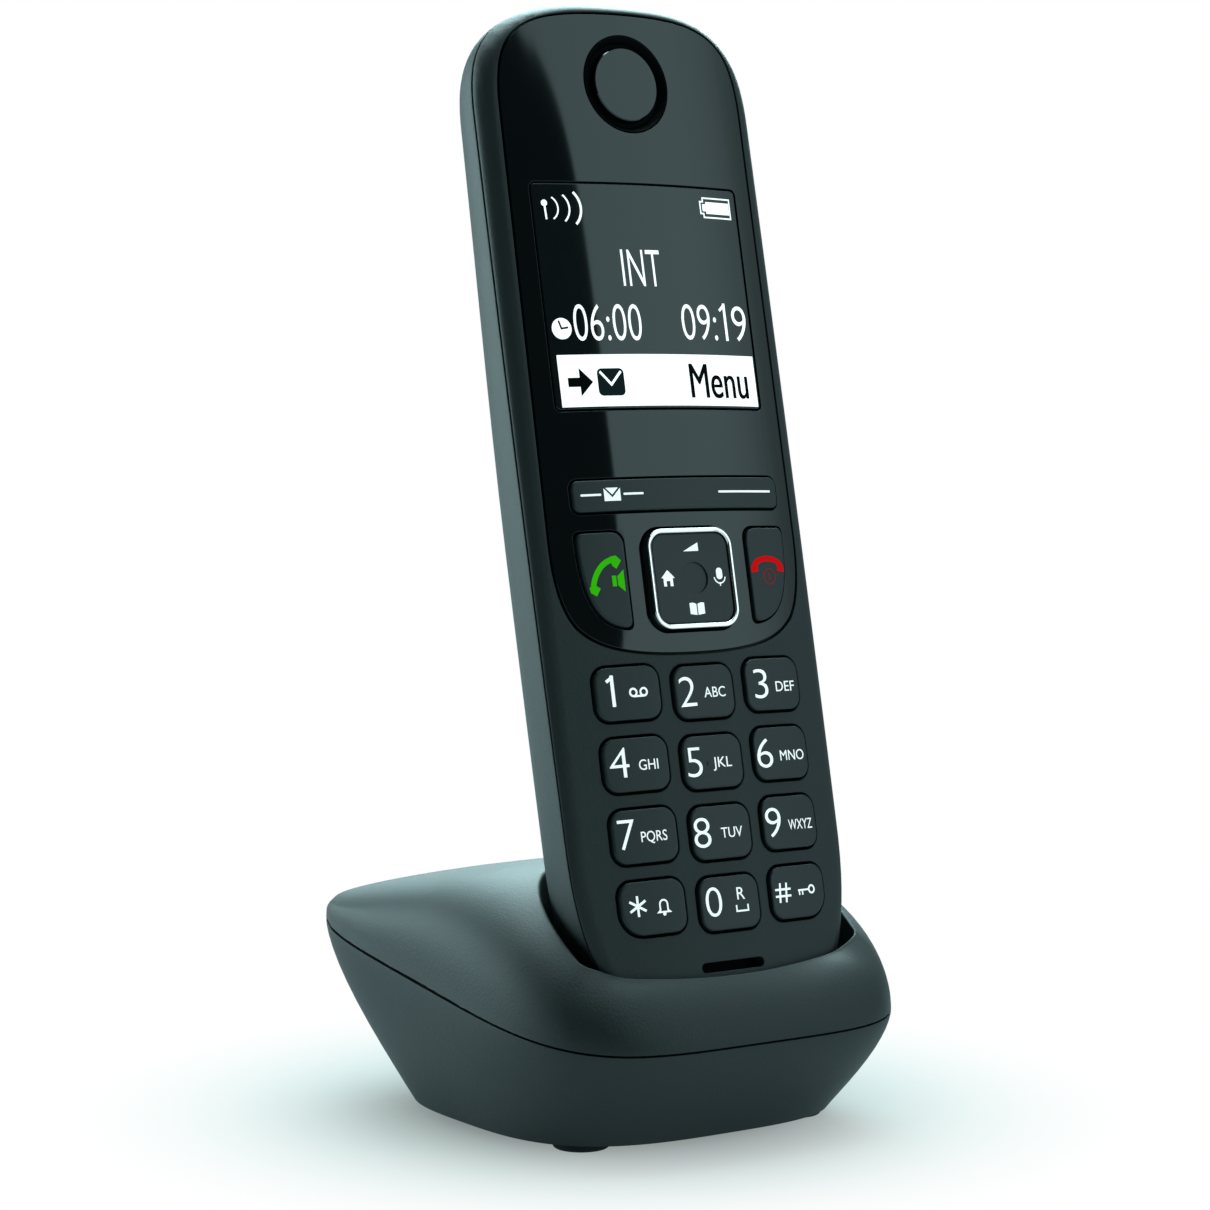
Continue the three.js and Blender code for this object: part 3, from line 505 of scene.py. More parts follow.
# ------------------------------------------------------------------ finishes
def grain_group():
    """Spark-eroded grain of a moulded shell: fine height, and slow changes of tone and gloss."""
    tree = bpy.data.node_groups.new("moulded_grain", "ShaderNodeTree")
    for name in ("Tone", "Fine Scale", "Tone Spread", "Gloss", "Gloss Spread"):
        kind = "NodeSocketColor" if name == "Tone" else "NodeSocketFloat"
        tree.interface.new_socket(name=name, in_out="INPUT", socket_type=kind)
    for name in ("Color", "Roughness", "Height"):
        kind = "NodeSocketColor" if name == "Color" else "NodeSocketFloat"
        tree.interface.new_socket(name=name, in_out="OUTPUT", socket_type=kind)
    given = tree.nodes.new("NodeGroupInput").outputs
    result = tree.nodes.new("NodeGroupOutput").inputs
    where = node(tree, "TexCoord").outputs["Object"]
    fine = node(tree, "TexNoise", Vector=where, Scale=given["Fine Scale"], Detail=2.0,
                Roughness=0.6).outputs["Fac"]
    slow = node(tree, "TexNoise", Vector=where, Scale=38.0, Detail=3.0, Roughness=0.55).outputs["Fac"]
    # tone moves a little up and down with the fine grain and the slow flow of the moulding
    both = maths(tree, "MULTIPLY_ADD", fine, 0.55, maths(tree, "MULTIPLY", slow, 0.45))
    share = node(tree, "MapRange", Value=both, From_Min=0.3, From_Max=0.7,
                 To_Min=maths(tree, "SUBTRACT", 1.0, given["Tone Spread"]),
                 To_Max=maths(tree, "ADD", 1.0, given["Tone Spread"])).outputs["Result"]
    tone = node(tree, "VectorMath", given["Tone"], operation="SCALE", Scale=share).outputs["Vector"]
    put(tree, result["Color"], tone)
    swing = maths(tree, "SUBTRACT", fine, 0.5)
    put(tree, result["Roughness"], maths(tree, "MULTIPLY_ADD", swing, given["Gloss Spread"], given["Gloss"]))
    put(tree, result["Height"], fine)
    return tree


GRAIN = grain_group()


def finish_of(name, tone, gloss, scale=2600.0, spread=0.12, gloss_spread=0.08, height=0.012, **surface):
    """A material with the moulded grain; height is the depth of the grain in millimetres."""
    material = bpy.data.materials.new(name)
    material.use_nodes = True
    tree = material.node_tree
    shader = tree.nodes["Principled BSDF"].inputs
    grain = node(tree, "Group", node_tree=GRAIN)
    for key, value in (("Tone", (*tone, 1)), ("Tone Spread", spread), ("Gloss", gloss),
                       ("Gloss Spread", gloss_spread), ("Fine Scale", scale)):
        put(tree, grain.inputs[key], value)
    put(tree, shader["Base Color"], grain.outputs["Color"])
    put(tree, shader["Roughness"], grain.outputs["Roughness"])
    if height:
        bump = node(tree, "Bump", Strength=1.0, Distance=height * MM, Height=grain.outputs["Height"])
        put(tree, shader["Normal"], bump.outputs["Normal"])
    for key, value in surface.items():
        put(tree, shader[key.replace("_", " ")], value)
    return material


def ink_of(name, tone, gloss, spread, sheen, light=(0, 0, 0), glow=0.0):
    """Printing ink or a mark on the display: no grain, hardly any sheen, and a glow of its own where one is
    given: backlight on the display, a painted glow on printed ink.
    """
    return finish_of(name, tone, gloss, spread=spread, height=0.0, Specular_IOR_Level=sheen,
                     Emission_Color=(*light, 1), Emission_Strength=glow)


shell_matt = finish_of("shell_matt", (0.0105, 0.0155, 0.016), 0.56, height=0.035)
key_satin = finish_of("key_satin", (0.0095, 0.0145, 0.015), 0.45)
panel_gloss = finish_of("panel_gloss", (0.0035, 0.0052, 0.0056), 0.045,
                        scale=300.0, gloss_spread=0.01, height=0.0)
window_gloss = finish_of("window_gloss", (0.0065, 0.0092, 0.0096), 0.05,
                         scale=300.0, gloss_spread=0.01, height=0.0)
# the key prints glow: painted light that lifts the white, green and red inks above what the lamps give them
print_white_painted_glow = ink_of("print_white_painted_glow", (0.9, 0.92, 0.92), 0.45, 0.02, 0.1, (1, 1, 1), 0.55)
print_green_painted_glow = ink_of("print_green_painted_glow", (0.045, 0.52, 0.003), 0.6, 0.03, 0.05, (0.04, 0.55, 0.002), 0.3)
print_red_painted_glow = ink_of("print_red_painted_glow", (0.66, 0.001, 0.002), 0.6, 0.03, 0.05, (0.66, 0.001, 0.002), 0.4)
print_dim_red_painted_glow = ink_of("print_dim_red_painted_glow", (0.25, 0.012, 0.02), 0.6, 0.03, 0.1, (0.25, 0.012, 0.02), 0.3)
screen_white = ink_of("screen_white", (0.9, 0.92, 0.91), 0.3, 0.01, 0.1, (1, 1, 1), 0.75)
screen_grey = ink_of("screen_grey", (0.012, 0.022, 0.024), 0.8, 0.05, 0.05)
screen_black = ink_of("screen_black", (0.002, 0.003, 0.003), 0.8, 0.05, 0.05)
# near-black that paints shade: the shade inside the microphone slot, and the shade in the channel of the
# earpiece's black ring
shade_black = ink_of("shade_black", (0.0015, 0.002, 0.002), 0.6, 0.1, 0.04)
chrome = finish_of("chrome_bright", (0.93, 0.86, 0.85), 0.1, scale=900.0, spread=0.02, gloss_spread=0.04,
                   height=0.0, Metallic=1.0)
rubber = finish_of("rubber_matt", (0.014, 0.015, 0.016), 0.85, height=0.02)
black_plastic = finish_of("black_plastic", (0.01, 0.011, 0.012), 0.4, height=0.01)
steel = finish_of("steel_plain", (0.5, 0.51, 0.53), 0.32, scale=1500.0, gloss_spread=0.15,
                  height=0.003, Metallic=1.0)
gold = finish_of("gold_plate", (0.83, 0.6, 0.25), 0.22, scale=1500.0, gloss_spread=0.1,
                 height=0.002, Metallic=1.0)
board_green = finish_of("board_green", (0.012, 0.075, 0.03), 0.35, scale=700.0, spread=0.2, height=0.004)
sleeve_green = finish_of("sleeve_green", (0.03, 0.17, 0.09), 0.25, scale=400.0, height=0.0)


# ------------------------------------------------------------------ handset: face
def number_keys():
    """Name, place and corner radii of the twelve number keys, top row first."""
    names = ("1", "2", "3", "4", "5", "6", "7", "8", "9", "star", "0", "hash")
    for i, name in enumerate(names):
        row, column = divmod(i, 3)
        v = KEY_TOP_ROW - row * KEY_PITCH + (0 if column == 1 else KEY_OUTER_RISE)
        radii = [KEY_R] * 4
        if row == 3 and column != 1:
            radii[0 if column == 0 else 1] = KEY_LOW_R
        yield name, KEY_COLUMNS[column], v, radii


def key_outline(x, v, radii, m):
    return rounded(x - KEY_W - m, x + KEY_W + m, v - KEY_H - m, v + KEY_H + m, [r + m for r in radii])


def flared(name, outline_at, deep, edge=0.22):
    """Cutting tool for an opening whose rim is softened: it widens over the last part of its depth."""
    rings = []
    for depth, grow in ((deep, 0.0), (edge, 0.0), (edge * 0.45, edge * 0.18), (0.0, edge), (-3.0, edge)):
        rings.append([(x, depth, v) for x, v in outline_at(grow)])
    return loft(name, rings)


def microphone_outline(m):
    return rounded(MIC_LEFT - m, MIC_RIGHT + m, MIC_LOW - m, MIC_HIGH + m, MIC_R + m)


def open_for_keys(piece, margin, nav_margin):
    """Openings of the five keys on the gloss panel."""
    for outline in (call_outline(-1, margin), call_outline(1, margin), display_outline(margin),
                    nav_outline(-nav_margin)):
        open_up(piece, outline)


def front_cover():
    """Front shell: a crowned face with rounded cheeks, and the openings of all the keys."""
    outline = handset_outline()
    rings = [[(x, seam_depth(v) - LINE, v) for x, v in drawn_in(outline, 0.996)]]
    for i in range(CHEEK_STEPS + 1):
        s, c = quarter(i, CHEEK_STEPS)
        rings.append([(x, CHEEK_DROP * (1 - s) * (seam_depth(v) - LINE), v)
                      for x, v in drawn_in(outline, 1 - CHEEK_IN * (1 - c))])
    cover = loft("handset_front_shell", rings)
    for name, x, v, radii in number_keys():
        carve(cover, flared("well", lambda m: key_outline(x, v, radii, KEY_GAP + m), WELL_DEEP, 0.14))
    carve(cover, flared("well", lambda m: panel_outline(PANEL_GAP + m), PANEL_DEEP, 0.15))
    open_for_keys(cover, 0.4, 0.5)
    open_up(cover, rounded(-18, 18, 104, 136.5, 1))
    carve(cover, rod("well", (0, 3, EAR_V), 5.6, 10))
    carve(cover, flared("well", microphone_outline, WELL_DEEP, 0.18))
    slice_across(cover, -24, 1.5, 33)
    slice_across(cover, 20, 6, 9, (0, 0, 1))
    crown(cover, to_seam=True)
    finish(cover, "handset", shell_matt, ["handset_front_cover"])


def microphone_slot_shade():
    """Near-black sheet in the slot in front of the microphone: painted shade that keeps the slot dark."""
    outline = rounded(MIC_LEFT + 0.1, MIC_RIGHT - 0.1, MIC_LOW + 0.05, MIC_HIGH - 0.05, 0.6)
    finish(plate("microphone_slot_shade", outline, 2.2, 2.8), "handset", shade_black)


def front_panel():
    """Gloss panel with its openings for the keys, the window and the earpiece."""
    panel = plate("front_panel_gloss", panel_outline(0), 0, 1.3)
    open_for_keys(panel, PANEL_GAP, 0.4)
    open_up(panel, window_outline(GAP))
    carve(panel, rod("well", (0, 3, EAR_V), EAR_R, 10))
    round_edges(panel, lambda e: at_depth(0)(e) and not all(f.normal.y < -0.9 for f in e.link_faces), 0.16, 3)
    slice_across(panel, -20.5, 1, 42)
    crown(panel)
    finish(panel, "handset", panel_gloss, ["front_panel"])


def display_window():
    """Glossy pane over the display, let into the panel."""
    pane = plate("display_pane", window_outline(0), 0, 0.9)
    round_edges(pane, at_depth(0), 0.12, 3)
    slice_across(pane, -17, 1, 35)
    crown(pane)
    finish(pane, "handset", window_gloss, ["display_window"])


def earpiece():
    """Flat disc in a bevelled ring of matt black, whose near-black also paints the shade in the ring's
    channel.
    """
    # radius and depth along the section, from the ring's outside to the middle of the disc
    section = ((EAR_R - 0.12, 1.2), (EAR_R - 0.12, 0.0), (EAR_R - 0.25, -0.02), (6.35, 0.62), (6.1, 0.95),
               (5.55, 0.95), (5.4, 0.6), (5.36, 0.14), (5.22, 0.0), (4.8, 0.0), (2.4, 0.0))
    piece = loft("earpiece_ring", [[(x, depth, v) for x, v in circle(0, EAR_V, radius, 96)]
                                   for radius, depth in section])
    crown(piece)
    finish(piece, "handset", panel_gloss, ["earpiece_disc"], sharp=25)
    # the ring's channel gets the near-black: the ring's own black, and painted shade in the channel
    piece.data.materials.append(shade_black)
    to_face = STAND.inverted()
    for face in piece.data.polygons:
        place = to_face @ face.center
        face.material_index = int(5.3 < math.hypot(place.x, place.z - EAR_V) < EAR_R - 0.13)


# ------------------------------------------------------------------ handset: rear shell
def hull_rings(inset, steps, lift, outline):
    """Rings of the rounded back, from a little above the parting line to the spine."""
    wide = 1 - inset / HS_W
    rings = []
    for i in range(steps + 1):
        s, c = quarter(i, steps)
        rise = s ** (2 / HULL_N)
        ring = []
        for x, v in drawn_in(outline, c ** (2 / HULL_N) * wide):
            start = seam_depth(v) + lift
            ring.append((x, start + (back_depth(v) - start - inset) * rise, v))
        rings.append(ring)
    return rings


def rear_skin(name):
    """Rounded back as a shell with its wall; the rim is softened where it meets the parting line."""
    outline = handset_outline()

    def rim(spread, lift):
        return [(x, seam_depth(v) + lift, v) for x, v in drawn_in(outline, spread)]

    outer = [rim(0.993, LINE), rim(0.998, LINE + 0.05), rim(1, LINE + 0.18)]
    outer += hull_rings(0, 26, LINE, outline)[1:]
    inner = [rim(1 - WALL / HS_W, LINE)] + hull_rings(WALL, 14, LINE + 0.4, outline)
    return loft(name, inner[::-1] + outer, ends=(False, False))


def rear_cover():
    """Rear shell with the battery bay, the sound slots and the windows of the charging contacts."""
    cover = rear_skin("handset_rear_shell")
    tray = plate("tray", bay_outline(GAP + TRAY_WALL), BAY_FLOOR - TRAY_WALL, BEHIND)
    hull = loft("limit", hull_rings(HULL_SKIN, 14, LINE + 0.4, handset_outline()), ends=(True, False))
    carve(tray, hull, how="INTERSECT")
    carve(cover, tray, how="UNION")
    open_up(cover, bay_outline(GAP), BAY_FLOOR, BEHIND)
    for i in range(-2, 3):
        v = VENT_V + VENT_PITCH * i
        open_up(cover, rounded(-VENT_W, VENT_W, v - VENT_H, v + VENT_H, VENT_H - 0.01, 6), 12, BEHIND)
    for x in (-PIN_X, PIN_X):
        carve(cover, block("slot", (x - CONTACT_W, x + CONTACT_W), (PIN_Y - CONTACT_D, PIN_Y + CONTACT_D),
                           (HS_BOTTOM - 3, HS_BOTTOM + 16)))
    finish(cover, "handset", shell_matt, ["handset_rear_cover"])


def battery_cover():
    """The part of the rear skin that closes the battery bay."""
    cover = rear_skin("battery_cover_shell")
    carve(cover, plate("keep", bay_outline(0), BAY_FLOOR + GAP, BEHIND), how="INTERSECT")
    finish(cover, "battery_cover", shell_matt, ["battery_cover"])


# ------------------------------------------------------------------ keys
def key_cap(name, outline_at, proud, back, edge, pillow=0.02):
    """Key cap: straight sides, a small rounded front edge and a nearly flat top."""
    rings = [[(x, back, v) for x, v in outline_at(0)]]
    for i in range(8):
        s, c = quarter(i, 7)
        depth = -proud + pillow + (edge - pillow) * (1 - s)
        rings.append([(x, depth, v) for x, v in outline_at(-edge * (1 - c))])
    for k, share in ((1.4, 0.72), (2.0, 0.93)):
        rings.append([(x, -proud + pillow * (1 - share), v) for x, v in outline_at(-edge * k)])
    return loft(name, rings)


def finish_cap(cap, name, start, pitch, count):
    """Lets a cap follow the crown of the face, and finishes it."""
    slice_across(cap, start, pitch, count)
    crown(cap)
    finish(cap, name, key_satin, [name], sharp=50)


def key_caps():
    """Caps of the number keys, the talk and end keys and the display key."""
    for name, x, v, radii in number_keys():
        cap = key_cap(f"key_cap_{name}", lambda m: key_outline(x, v, radii, m), KEY_PROUD,
                      3.2 - face_depth(x), KEY_EDGE)
        if name == "5":
            # the raised dot that a finger finds
            carve(cap, rod("dot", (x - 0.85, -KEY_PROUD, v - 0.25), 0.27, 0.24), how="UNION")
        finish_cap(cap, f"key_{name}", x - 4.8, 1.2, 9)
    for side, name in ((-1, "talk_key"), (1, "end_key")):
        cap = key_cap(f"{name}_cap", lambda m: call_outline(side, m), CALL_PROUD, 2.5, 0.22)
        finish_cap(cap, name, 0.6 + side * 11, side * 1.2, 6)
    cap = key_cap("display_key_cap", display_outline, DISPLAY_PROUD, 2.5, 0.18)
    finish_cap(cap, "display_key", -17, 1, 35)


def nav_pieces():
    """Bright frame with a fine groove, and the four-way cap inside, whose skirt carries the frame."""
    outer = plate("nav_frame_chrome", nav_outline(0), -NAV_PROUD, -NAV_PROUD + 0.6)
    open_up(outer, nav_outline(NAV_BAND), -NAV_PROUD - 1, 2)
    groove = plate("groove", nav_outline(0.38), -NAV_PROUD - 1, -NAV_PROUD + 0.3)
    open_up(groove, nav_outline(0.52), -NAV_PROUD - 2, 2)
    round_edges(outer, at_depth(-NAV_PROUD), 0.17)
    carve(outer, groove)
    finish(outer, "nav_key", chrome, ["nav_ring"], sharp=40)

    cap = key_cap("nav_cap", lambda m: nav_outline(NAV_BAND + 0.12 - m), -NAV_TOP, 1, 0.2, 0.0)
    carve(cap, plate("skirt", nav_outline(0.1), -NAV_PROUD + 0.7, 3.3), how="UNION")
    carve(cap, rod("dish", (KEY_SHIFT + 0.3, NAV_TOP - 0.76, NAV_V), 2.25, 2))
    round_edges(cap, at_depth(NAV_TOP), 0.1, 3)
    finish(cap, "nav_key", key_satin, ["nav_key"], sharp=40)


# ------------------------------------------------------------------ legends
CAPITAL = 0.729  # height of a capital at a letter size of 1


def lettering(text, x, v, height, width, depth, thin=0.0, flush_right=False):
    """A word or figure as a flat shape: height is that of a capital, width the whole word's."""
    clear()
    bpy.ops.object.text_add()
    letters = bpy.context.object.data
    letters.body = text
    letters.size = 1
    letters.offset = thin
    letters.resolution_u = 6
    bpy.ops.object.convert(target="MESH")
    writing = bpy.context.object
    xs = [p.co.x for p in writing.data.vertices]
    wide = width / (max(xs) - min(xs))
    start = max(xs) if flush_right else min(xs)
    for p in writing.data.vertices:
        p.co = ((p.co.x - start) * wide + x, depth, p.co.y * height / CAPITAL + v)
    return writing


def bar(x0, x1, z0, z1, depth, r=0.0):
    points = rounded(x0, x1, z0, z1, r, 4) if r else [(x0, z0), (x1, z0), (x1, z1), (x0, z1)]
    return sheet_of("bar", points, depth)


def disc(x, v, radius, depth, sides=32):
    return sheet_of("disc", circle(x, v, radius, sides), depth)


def stroke(points, width, depth, closed=False):
    """A line of even width through points, with mitred corners."""
    left, right = [], []
    count = len(points)
    for i, point in enumerate(points):
        here = Vector(point)
        before = here - Vector(points[i - 1]) if i > 0 or closed else Vector(points[1]) - here
        after = Vector(points[(i + 1) % count]) - here if i < count - 1 or closed else before
        way = (before.normalized() + after.normalized()).normalized()
        lean = max(way.dot(before.normalized()), 0.35)
        side = Vector((-way.y, way.x)) * (width / 2 / lean)
        left.append(tuple(here + side))
        right.append(tuple(here - side))
    if closed:
        edges = [[(x, depth, v) for x, v in edge] for edge in (left, right)]
        return loft("stroke", edges, ends=(False, False))
    return sheet_of("stroke", left + right[::-1], depth)


def hoop(x, v, radius, width, depth, sides=20):
    return stroke(circle(x, v, radius, sides), width, depth, closed=True)


def printed(name, shapes, body, material, crowned=True, lift=PRINT_LIFT):
    """Joins the shapes of one legend, faces them forward and gives them a little thickness."""
    piece = join(name, shapes)
    pick(piece, "FACE", whole)
    bpy.ops.mesh.normals_make_consistent(inside=False)
    pick(piece, "FACE", lambda face: face.normal.y > 0)
    bpy.ops.mesh.flip_normals()
    done()
    if crowned:
        xs = [p.co.x for p in piece.data.vertices]
        low, high = min(xs), max(xs)
        count = int((high - low) / 1.5)
        if high - low > 3:
            slice_across(piece, low + (high - low) / count, (high - low) / count, count - 1)
    modify(piece, "SOLIDIFY", thickness=lift, offset=1)
    if crowned:
        crown(piece)
    finish(piece, body, material, weigh=False, sharp=30)


def one(x, v, height, depth, flag=0.2, width=0.12):
    """The figure 1: a plain stem with a flag and no foot; x is the middle of the stem."""
    w = width * height
    tip = (x - flag * height, v + height * 0.8)
    return [bar(x - w / 2, x + w / 2, v, v + height, depth),
            stroke([(x + w / 2 - 0.02 * height, v + height - w * 0.35), tip], w * 0.85, depth)]


# word of a key, its width, the place of its right end, the figure's left end and the figure's width
KEY_WORDS = {"2": ("ABC", 3.7, 3.5, -4.35, 2.75), "3": ("DEF", 3.6, 4.05, -3.6, 2.55),
             "4": ("GHI", 3.05, 3.3, -4.25, 3.0), "5": ("JKL", 3.25, 3.1, -4.5, 2.5),
             "6": ("MNO", 4.6, 4.25, -4.65, 2.9), "7": ("PQRS", 4.1, 3.35, -4.2, 2.6),
             "8": ("TUV", 3.7, 3.5, -4.8, 2.8), "9": ("WXYZ", 4.6, 4.2, -4.6, 2.85)}
FIGURE_THIN, WORD_HEIGHT = -0.012, 1.52


def figure_and_word(name, x, v, base, top):
    """A figure with its small letters."""
    word, wide, right, left, figure = KEY_WORDS[name]
    low = v - (1.1 if x > 5 else 0.85)
    return [lettering(name, x + left, base, 4.5, figure, top, FIGURE_THIN),
            lettering(word, x + right, low, WORD_HEIGHT, wide, top, flush_right=True)]


def figure_one(x, v, base, top):
    """The figure 1 and the two reels of the voice mail sign."""
    reels = [hoop(x + dx, v + 0.05, 0.52, 0.28, top) for dx in (0.7, 2.35)]
    return one(x - 2.45, base, 4.35, top) + reels + [bar(x + 0.7, x + 2.35, v - 0.63, v - 0.35, top)]


def figure_zero(x, v, base, top):
    """The figure 0, the recall letter and the sign of the space bar."""
    space = [(x + 0.9, v - 0.45), (x + 0.9, v - 1.3), (x + 2.9, v - 1.3), (x + 2.9, v - 0.45)]
    return [lettering("0", x - 4.2, base, 4.4, 2.7, top, FIGURE_THIN),
            lettering("R", x + 1.2, v + 0.3, 1.8, 1.35, top), stroke(space, 0.24, top)]


def star_and_bell(x, v, top):
    """The star and the bell of the ringer."""
    shapes = []
    for a in (30, 90, 150):
        dx, dv = 1.42 * math.cos(math.radians(a)), 1.42 * math.sin(math.radians(a))
        shapes.append(stroke([(x - 2.5 - dx, v + 0.35 - dv), (x - 2.5 + dx, v + 0.35 + dv)], 0.34, top))
    bell = [(x + 0.62, v - 0.75), (x + 0.9, v - 0.5)] + arc(x + 1.5, v + 0.3, 0.6, 180, 0, 10)
    bell += [(x + 2.1, v - 0.5), (x + 2.38, v - 0.75)]
    return shapes + [stroke(bell, 0.24, top, closed=True), disc(x + 1.5, v - 1.02, 0.26, top)]


def hash_and_lock(x, v, top):
    """The hash and the small key that locks the keypad."""
    shapes = [stroke([(x - 2.95 + dx - 0.14, v - 1.35), (x - 2.95 + dx + 0.14, v + 1.4)], 0.32, top)
              for dx in (-0.58, 0.58)]
    shapes += [bar(x - 4.4, x - 1.5, v + dv - 0.15, v + dv + 0.15, top) for dv in (-0.45, 0.5)]
    shapes += [hoop(x + 2.5, v + 0.15, 0.52, 0.26, top), bar(x - 0.1, x + 2.0, v + 0.03, v + 0.27, top)]
    return shapes + [bar(x + dx, x + dx + 0.24, v - 0.55, v + 0.1, top) for dx in (0, 0.6)]


def number_legends():
    """Figures, letters and signs of the twelve number keys."""
    for name, x, v, _ in number_keys():
        base = v - (1.75 if name in ("1", "4", "7", "0") else 2.0)
        if name in KEY_WORDS:
            shapes = figure_and_word(name, x, v, base, -KEY_PROUD)
        elif name in ("1", "0"):
            shapes = {"1": figure_one, "0": figure_zero}[name](x, v, base, -KEY_PROUD)
        else:
            shapes = {"star": star_and_bell, "hash": hash_and_lock}[name](x, v, -KEY_PROUD)
        printed(f"key_{name}_print", shapes, f"key_{name}", print_white_painted_glow)


def envelope(x, v, w, h, depth):
    """Filled envelope with its flap left open as a thin line."""
    flap = 0.12 * w
    left, right, low, high, middle = x - w / 2, x + w / 2, v - h / 2, v + h / 2, v - 0.02 * h
    return [sheet_of("flap", [(left + flap, high), (right - flap, high), (x, middle)], depth),
            sheet_of("body", [(left, low), (right, low), (right, high - 0.2 * flap), (x, middle - 1.3 * flap),
                              (left, high - 0.2 * flap)], depth)]


def display_key_legend():
    """Bars of the display key, and an envelope between two of them."""
    top, v = -DISPLAY_PROUD, 92.1
    dashes = ((-15.8, -12.6), (-9.05, -5.8), (7.2, 17.1))
    shapes = [bar(x0, x1, v - 0.15, v + 0.15, top, 0.1) for x0, x1 in dashes]
    shapes += envelope(-10.85, v, 2.6, 1.85, top)
    printed("display_key_print", shapes, "display_key", print_white_painted_glow)


def call_legends():
    """Signs of the talk and end keys."""
    top = -CALL_PROUD
    # talk: a lifted receiver and a loudspeaker
    talk = [stroke(bezier((-15.58, 78.9), (-15.23, 81.1), (-13.63, 83.0), (-11.73, 82.95), 14), 0.8, top)]
    cups = (((-12.53, 83.35), (-11.53, 83.5), (-10.78, 82.75), (-11.63, 81.65), (-12.23, 82.1)),
            ((-16.13, 79.1), (-15.23, 80.0), (-15.03, 79.4), (-14.43, 79.0), (-15.13, 77.95),
             (-15.98, 78.45)))
    talk += [sheet_of("cup", cup, top) for cup in cups]
    talk.append(bar(-12.48, -11.83, 79.2, 80.7, top))
    talk.append(sheet_of("horn", [(-11.63, 79.3), (-10.58, 78.4), (-10.58, 81.5), (-11.63, 80.6)], top))
    printed("talk_key_print", talk, "talk_key", print_green_painted_glow)
    # end: a laid down receiver and the switch-off sign
    end = [stroke(bezier((12.07, 81.0), (12.37, 82.75), (17.17, 82.75), (17.42, 81.0), 14), 0.8, top)]
    cup = ((3.15, 80.35), (3.15, 81.3), (1.95, 81.5), (1.85, 80.55))
    for side in (-1, 1):
        end.append(sheet_of("cup", [(14.72 + side * dx, v) for dx, v in cup], top))
    printed("end_key_print", end, "end_key", print_red_painted_glow)
    sign = [hoop(14.92, 79.75, 1.1, 0.2, top, 24), bar(14.82, 15.02, 79.25, 80.25, top)]
    printed("end_key_sign", sign, "end_key", print_dim_red_painted_glow)


def nav_legend():
    """Signs of the four-way key: volume, home, microphone and an open book."""
    top = NAV_TOP
    x, v = KEY_SHIFT, NAV_V
    shapes = [sheet_of("wedge", [(x - 1.15, v + 3.8), (x + 1.45, v + 3.8), (x + 1.45, v + 5.0)], top)]
    home = x - 4.3
    shapes.append(sheet_of("roof", [(home - 1.15, v + 0.1), (home + 1.15, v + 0.1), (home, v + 1.25)], top))
    shapes += [bar(home + dx - 0.24, home + dx + 0.24, v - 1.05, v + 0.1, top) for dx in (-0.55, 0.55)]
    shapes.append(bar(home - 0.6, home + 0.6, v - 0.3, v + 0.1, top))
    voice = x + 4.6
    shapes.append(bar(voice - 0.52, voice + 0.52, v - 0.35, v + 1.3, top, 0.5))
    shapes.append(stroke(arc(voice, v + 0.05, 0.95, 185, 355), 0.18, top))
    shapes.append(bar(voice - 0.09, voice + 0.09, v - 1.3, v - 0.85, top))
    page = ((0.1, -0.85), (1.25, -0.7), (1.25, 0.85), (0.7, 0.9), (0.1, 0.7))
    for side in (-1, 1):
        shapes.append(sheet_of("page", [(x + 0.1 + side * dx, v - 4.4 + dv) for dx, dv in page], top))
    printed("nav_key_print", shapes, "nav_key", print_white_painted_glow, crowned=False)


